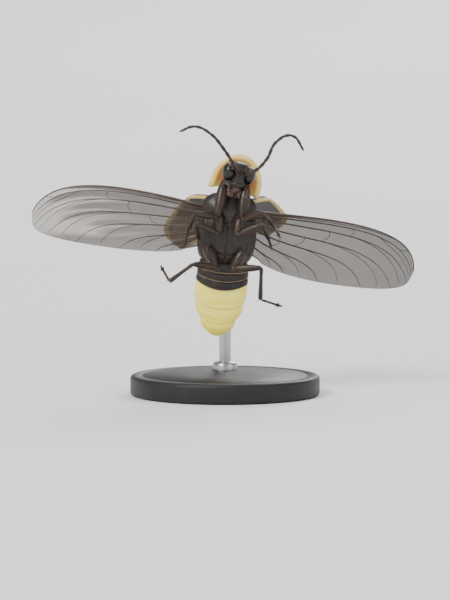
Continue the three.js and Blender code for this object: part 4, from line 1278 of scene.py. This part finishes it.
def vein(curve, corners, thick, thin):
    """Adds one vein through corners (q, t), tapering to its end."""
    share = np.linspace(0, 1, VEIN_STEPS)
    q, t = curve_through(np.array(corners), share).T
    spline = curve.splines.new("POLY")
    spline.points.add(VEIN_STEPS - 1)
    for knot, point, s in zip(spline.points, wing_points(q, t), share):
        knot.co = (*point, 1)
        knot.radius = mix(thick, thin, s)


def veins_of_wing():
    curve = bpy.data.curves.new("veins", "CURVE")
    curve.dimensions = "3D"
    curve.bevel_depth = 1
    curve.bevel_resolution = 2
    curve.use_fill_caps = True
    for q in VEINS:
        vein(curve, [(q, WING_SUNK), (q, 0.995)], *(MAIN_VEIN if q else EDGE_VEIN))
    for branch in BRANCHES:
        vein(curve, branch, *BRANCH_VEIN)
    piece = bpy.data.objects.new("veins", curve)
    bpy.context.scene.collection.objects.link(piece)
    picked(piece)
    bpy.ops.object.convert(target="MESH")
    return bpy.context.object


wing_film = clouded(
    "wing_film",
    {"Roughness": 0.24, "IOR": 1.45, "Alpha": 0.6, "Coat Weight": 0.15, "Coat Roughness": 0.12},
    160,
    [(0.3, (0.045, 0.031, 0.021)), (0.7, (0.09, 0.066, 0.047))],
    [(noise, 500, 0.00001), (cells, 11000, 0.000002)],
)
behind_edge = channel(wing_film, own_plan(wing_film), "X")
dark_front = ramp(wing_film, behind_edge, [(0.02, (1, 1, 1)), (0.3, (0, 0, 0))])
painted_over(wing_film, dark_front, (0.028, 0.016, 0.01, 1))
vein_stops = [(0.3, (0.022, 0.011, 0.006)), (0.7, (0.06, 0.032, 0.017))]
vein_brown = clouded("vein_brown", {"Roughness": 0.42}, 500, vein_stops)

for word, angles in WINGS.items():
    sweep, lift, twist = (math.radians(angle) for angle in angles)
    turn = Matrix.Rotation(sweep, 4, "Y") @ Matrix.Rotation(lift, 4, "Z") @ Matrix.Rotation(-twist, 4, "X")
    wing_place = Matrix.Diagonal((SIDES[word], 1, 1, 1)) @ Matrix.Translation(WING_AT) @ turn
    skin = laid_out(120, 90, lambda u, v: wing_points(u, mix(WING_SUNK, 1, v**0.95)))
    finished_with(skin, "SOLIDIFY", thickness=MEMBRANE, offset=0)
    veins = veins_of_wing()
    for piece in (skin, veins):
        piece.data.transform(wing_place)
        outwards(piece)
    handed_over(skin, "wing_skin_" + word, wing_film, ["hindwing_" + word])
    handed_over(veins, "wing_veins_" + word, vein_brown)

# Wing cases
# The hardened fore wings, swung up and out of the way in flight. They are leathery, black-brown with a pale
# yellow edge all round, finely pitted, with two low ribs and a coat of short hair.
CASE_LENGTH = 14.2
CASE_WIDTH = 3.6
CASE_ARCH = 0.75
CASE_THICK = 0.2
CASE_RIBS = (0.35, 0.62)  # how far from the outer edge to the seam
CASE_HINGE = Vector((2.1, TRUNK_RISE + 0.1, 13.75))
CASES = {"right": (22, 56), "left": (32, 65)}  # degrees that each is swung out and raised


def bump_at(value, middle, half):
    return np.maximum(0, 1 - ((value - middle) / half) ** 2)


def ridge(value, middle, half):
    return np.exp(-(((value - middle) / half) ** 2))


def case_points(u, v):
    """Points of a wing case: u runs from its outer edge to its seam, v from the shoulder to the tip."""
    along = 1 - (1 - v) ** 1.5
    full = np.maximum(0.001, 1 - np.maximum(0, (along - 0.7) / 0.3) ** 2.4)
    around = np.sqrt(full)
    corner = np.sqrt(1 - (1 - np.minimum(1, along / 0.06)) ** 2)
    shoulder = mix(0.62, 1, ease(along, 0, 0.16)) * mix(0.55, 1, corner)
    width = CASE_WIDTH * around * shoulder * (1 + 0.05 * bump_at(along, 0.55, 0.4))
    seam_edge = CASE_WIDTH * (0.5 - 0.25 * (1 - shoulder) - 0.25 * (1 - around))
    arch = CASE_ARCH * (1 - (2 * u - 1) ** 4) * full * mix(0.5, 1, ease(along, 0, 0.2))
    flange = -0.16 * bump_at(u, 0, 0.12) * full
    ribbed = ease(along, 0.05, 0.2) * (1 - ease(along, 0.7, 0.95))
    ribs = 0.07 * ribbed * sum(ridge(u, rib, 0.035) for rib in CASE_RIBS)
    roll = (0.1 * ridge(u, 0.985, 0.02) + 0.06 * ridge(u, 0.02, 0.02)) * full
    droop = -0.5 * along**2
    height = arch + flange + ribs + roll + droop + 0.08
    return np.stack([width * (1 - u) - seam_edge, height, -along * CASE_LENGTH], axis=1)


case_leather = clouded(
    "case_leather",
    {"Roughness": 0.55, "Specular IOR Level": 0.4},
    500,
    [(0.3, (0.011, 0.007, 0.005)), (0.75, (0.032, 0.02, 0.013))],
    [(noise, 1800, 0.000012), (cells, 7500, 0.000016)],
)
case_plan = own_plan(case_leather)
off_middle = reckon(case_leather, "SUBTRACT", channel(case_leather, case_plan, "X"), 0.52)
off_middle = reckon(case_leather, "ABSOLUTE", off_middle)
wavering = reckon(case_leather, "MULTIPLY_ADD", noise(case_leather, 1200), 0.03, off_middle)
at_the_sides = ramp(case_leather, wavering, [(0.43, (0, 0, 0)), (0.455, (1, 1, 1))])
tipwards = channel(case_leather, case_plan, "Y")
at_the_tip = ramp(case_leather, tipwards, [(0.955, (0, 0, 0)), (0.975, (1, 1, 1))])
edge_stops = [(0.3, (0.6, 0.42, 0.1)), (0.7, (0.72, 0.55, 0.2))]
pale_edge = ramp(case_leather, noise(case_leather, 900), edge_stops)
painted_over(case_leather, reckon(case_leather, "MAXIMUM", at_the_sides, at_the_tip), pale_edge)
case_down = hair_color("case_down", (0.1, 0.072, 0.04), (0.3, 0.23, 0.14))

for word, angles in CASES.items():
    side = SIDES[word]
    swung, raised = (math.radians(angle) for angle in angles)
    turn = Matrix.Rotation(-swung, 4, "Y") @ Matrix.Rotation(raised, 4, "X")
    case_place = Matrix.Diagonal((side, 1, 1, 1)) @ Matrix.Translation(CASE_HINGE) @ turn
    case = finished_with(laid_out(64, 120, case_points), "SOLIDIFY", thickness=CASE_THICK, offset=0)
    case.data.transform(case_place)
    outwards(case)
    tipward = case_place.to_3x3() @ Vector((0, 0, -1))
    upper = np.array(case_place.to_3x3() @ Vector((0, 1, 0)))
    case_hair = hairs(
        case,
        15000,
        length=0.12,
        thick=0.006,
        lie=tipward,
        rise=0.22,
        seed=81 + side,
        where=lambda at, up: (up @ upper > 0.2) * 1.0,
    )
    handed_over(case_hair, "wing_case_hair_" + word, case_down)
    handed_over(case, "wing_case_" + word, case_leather, ["elytron_" + word])
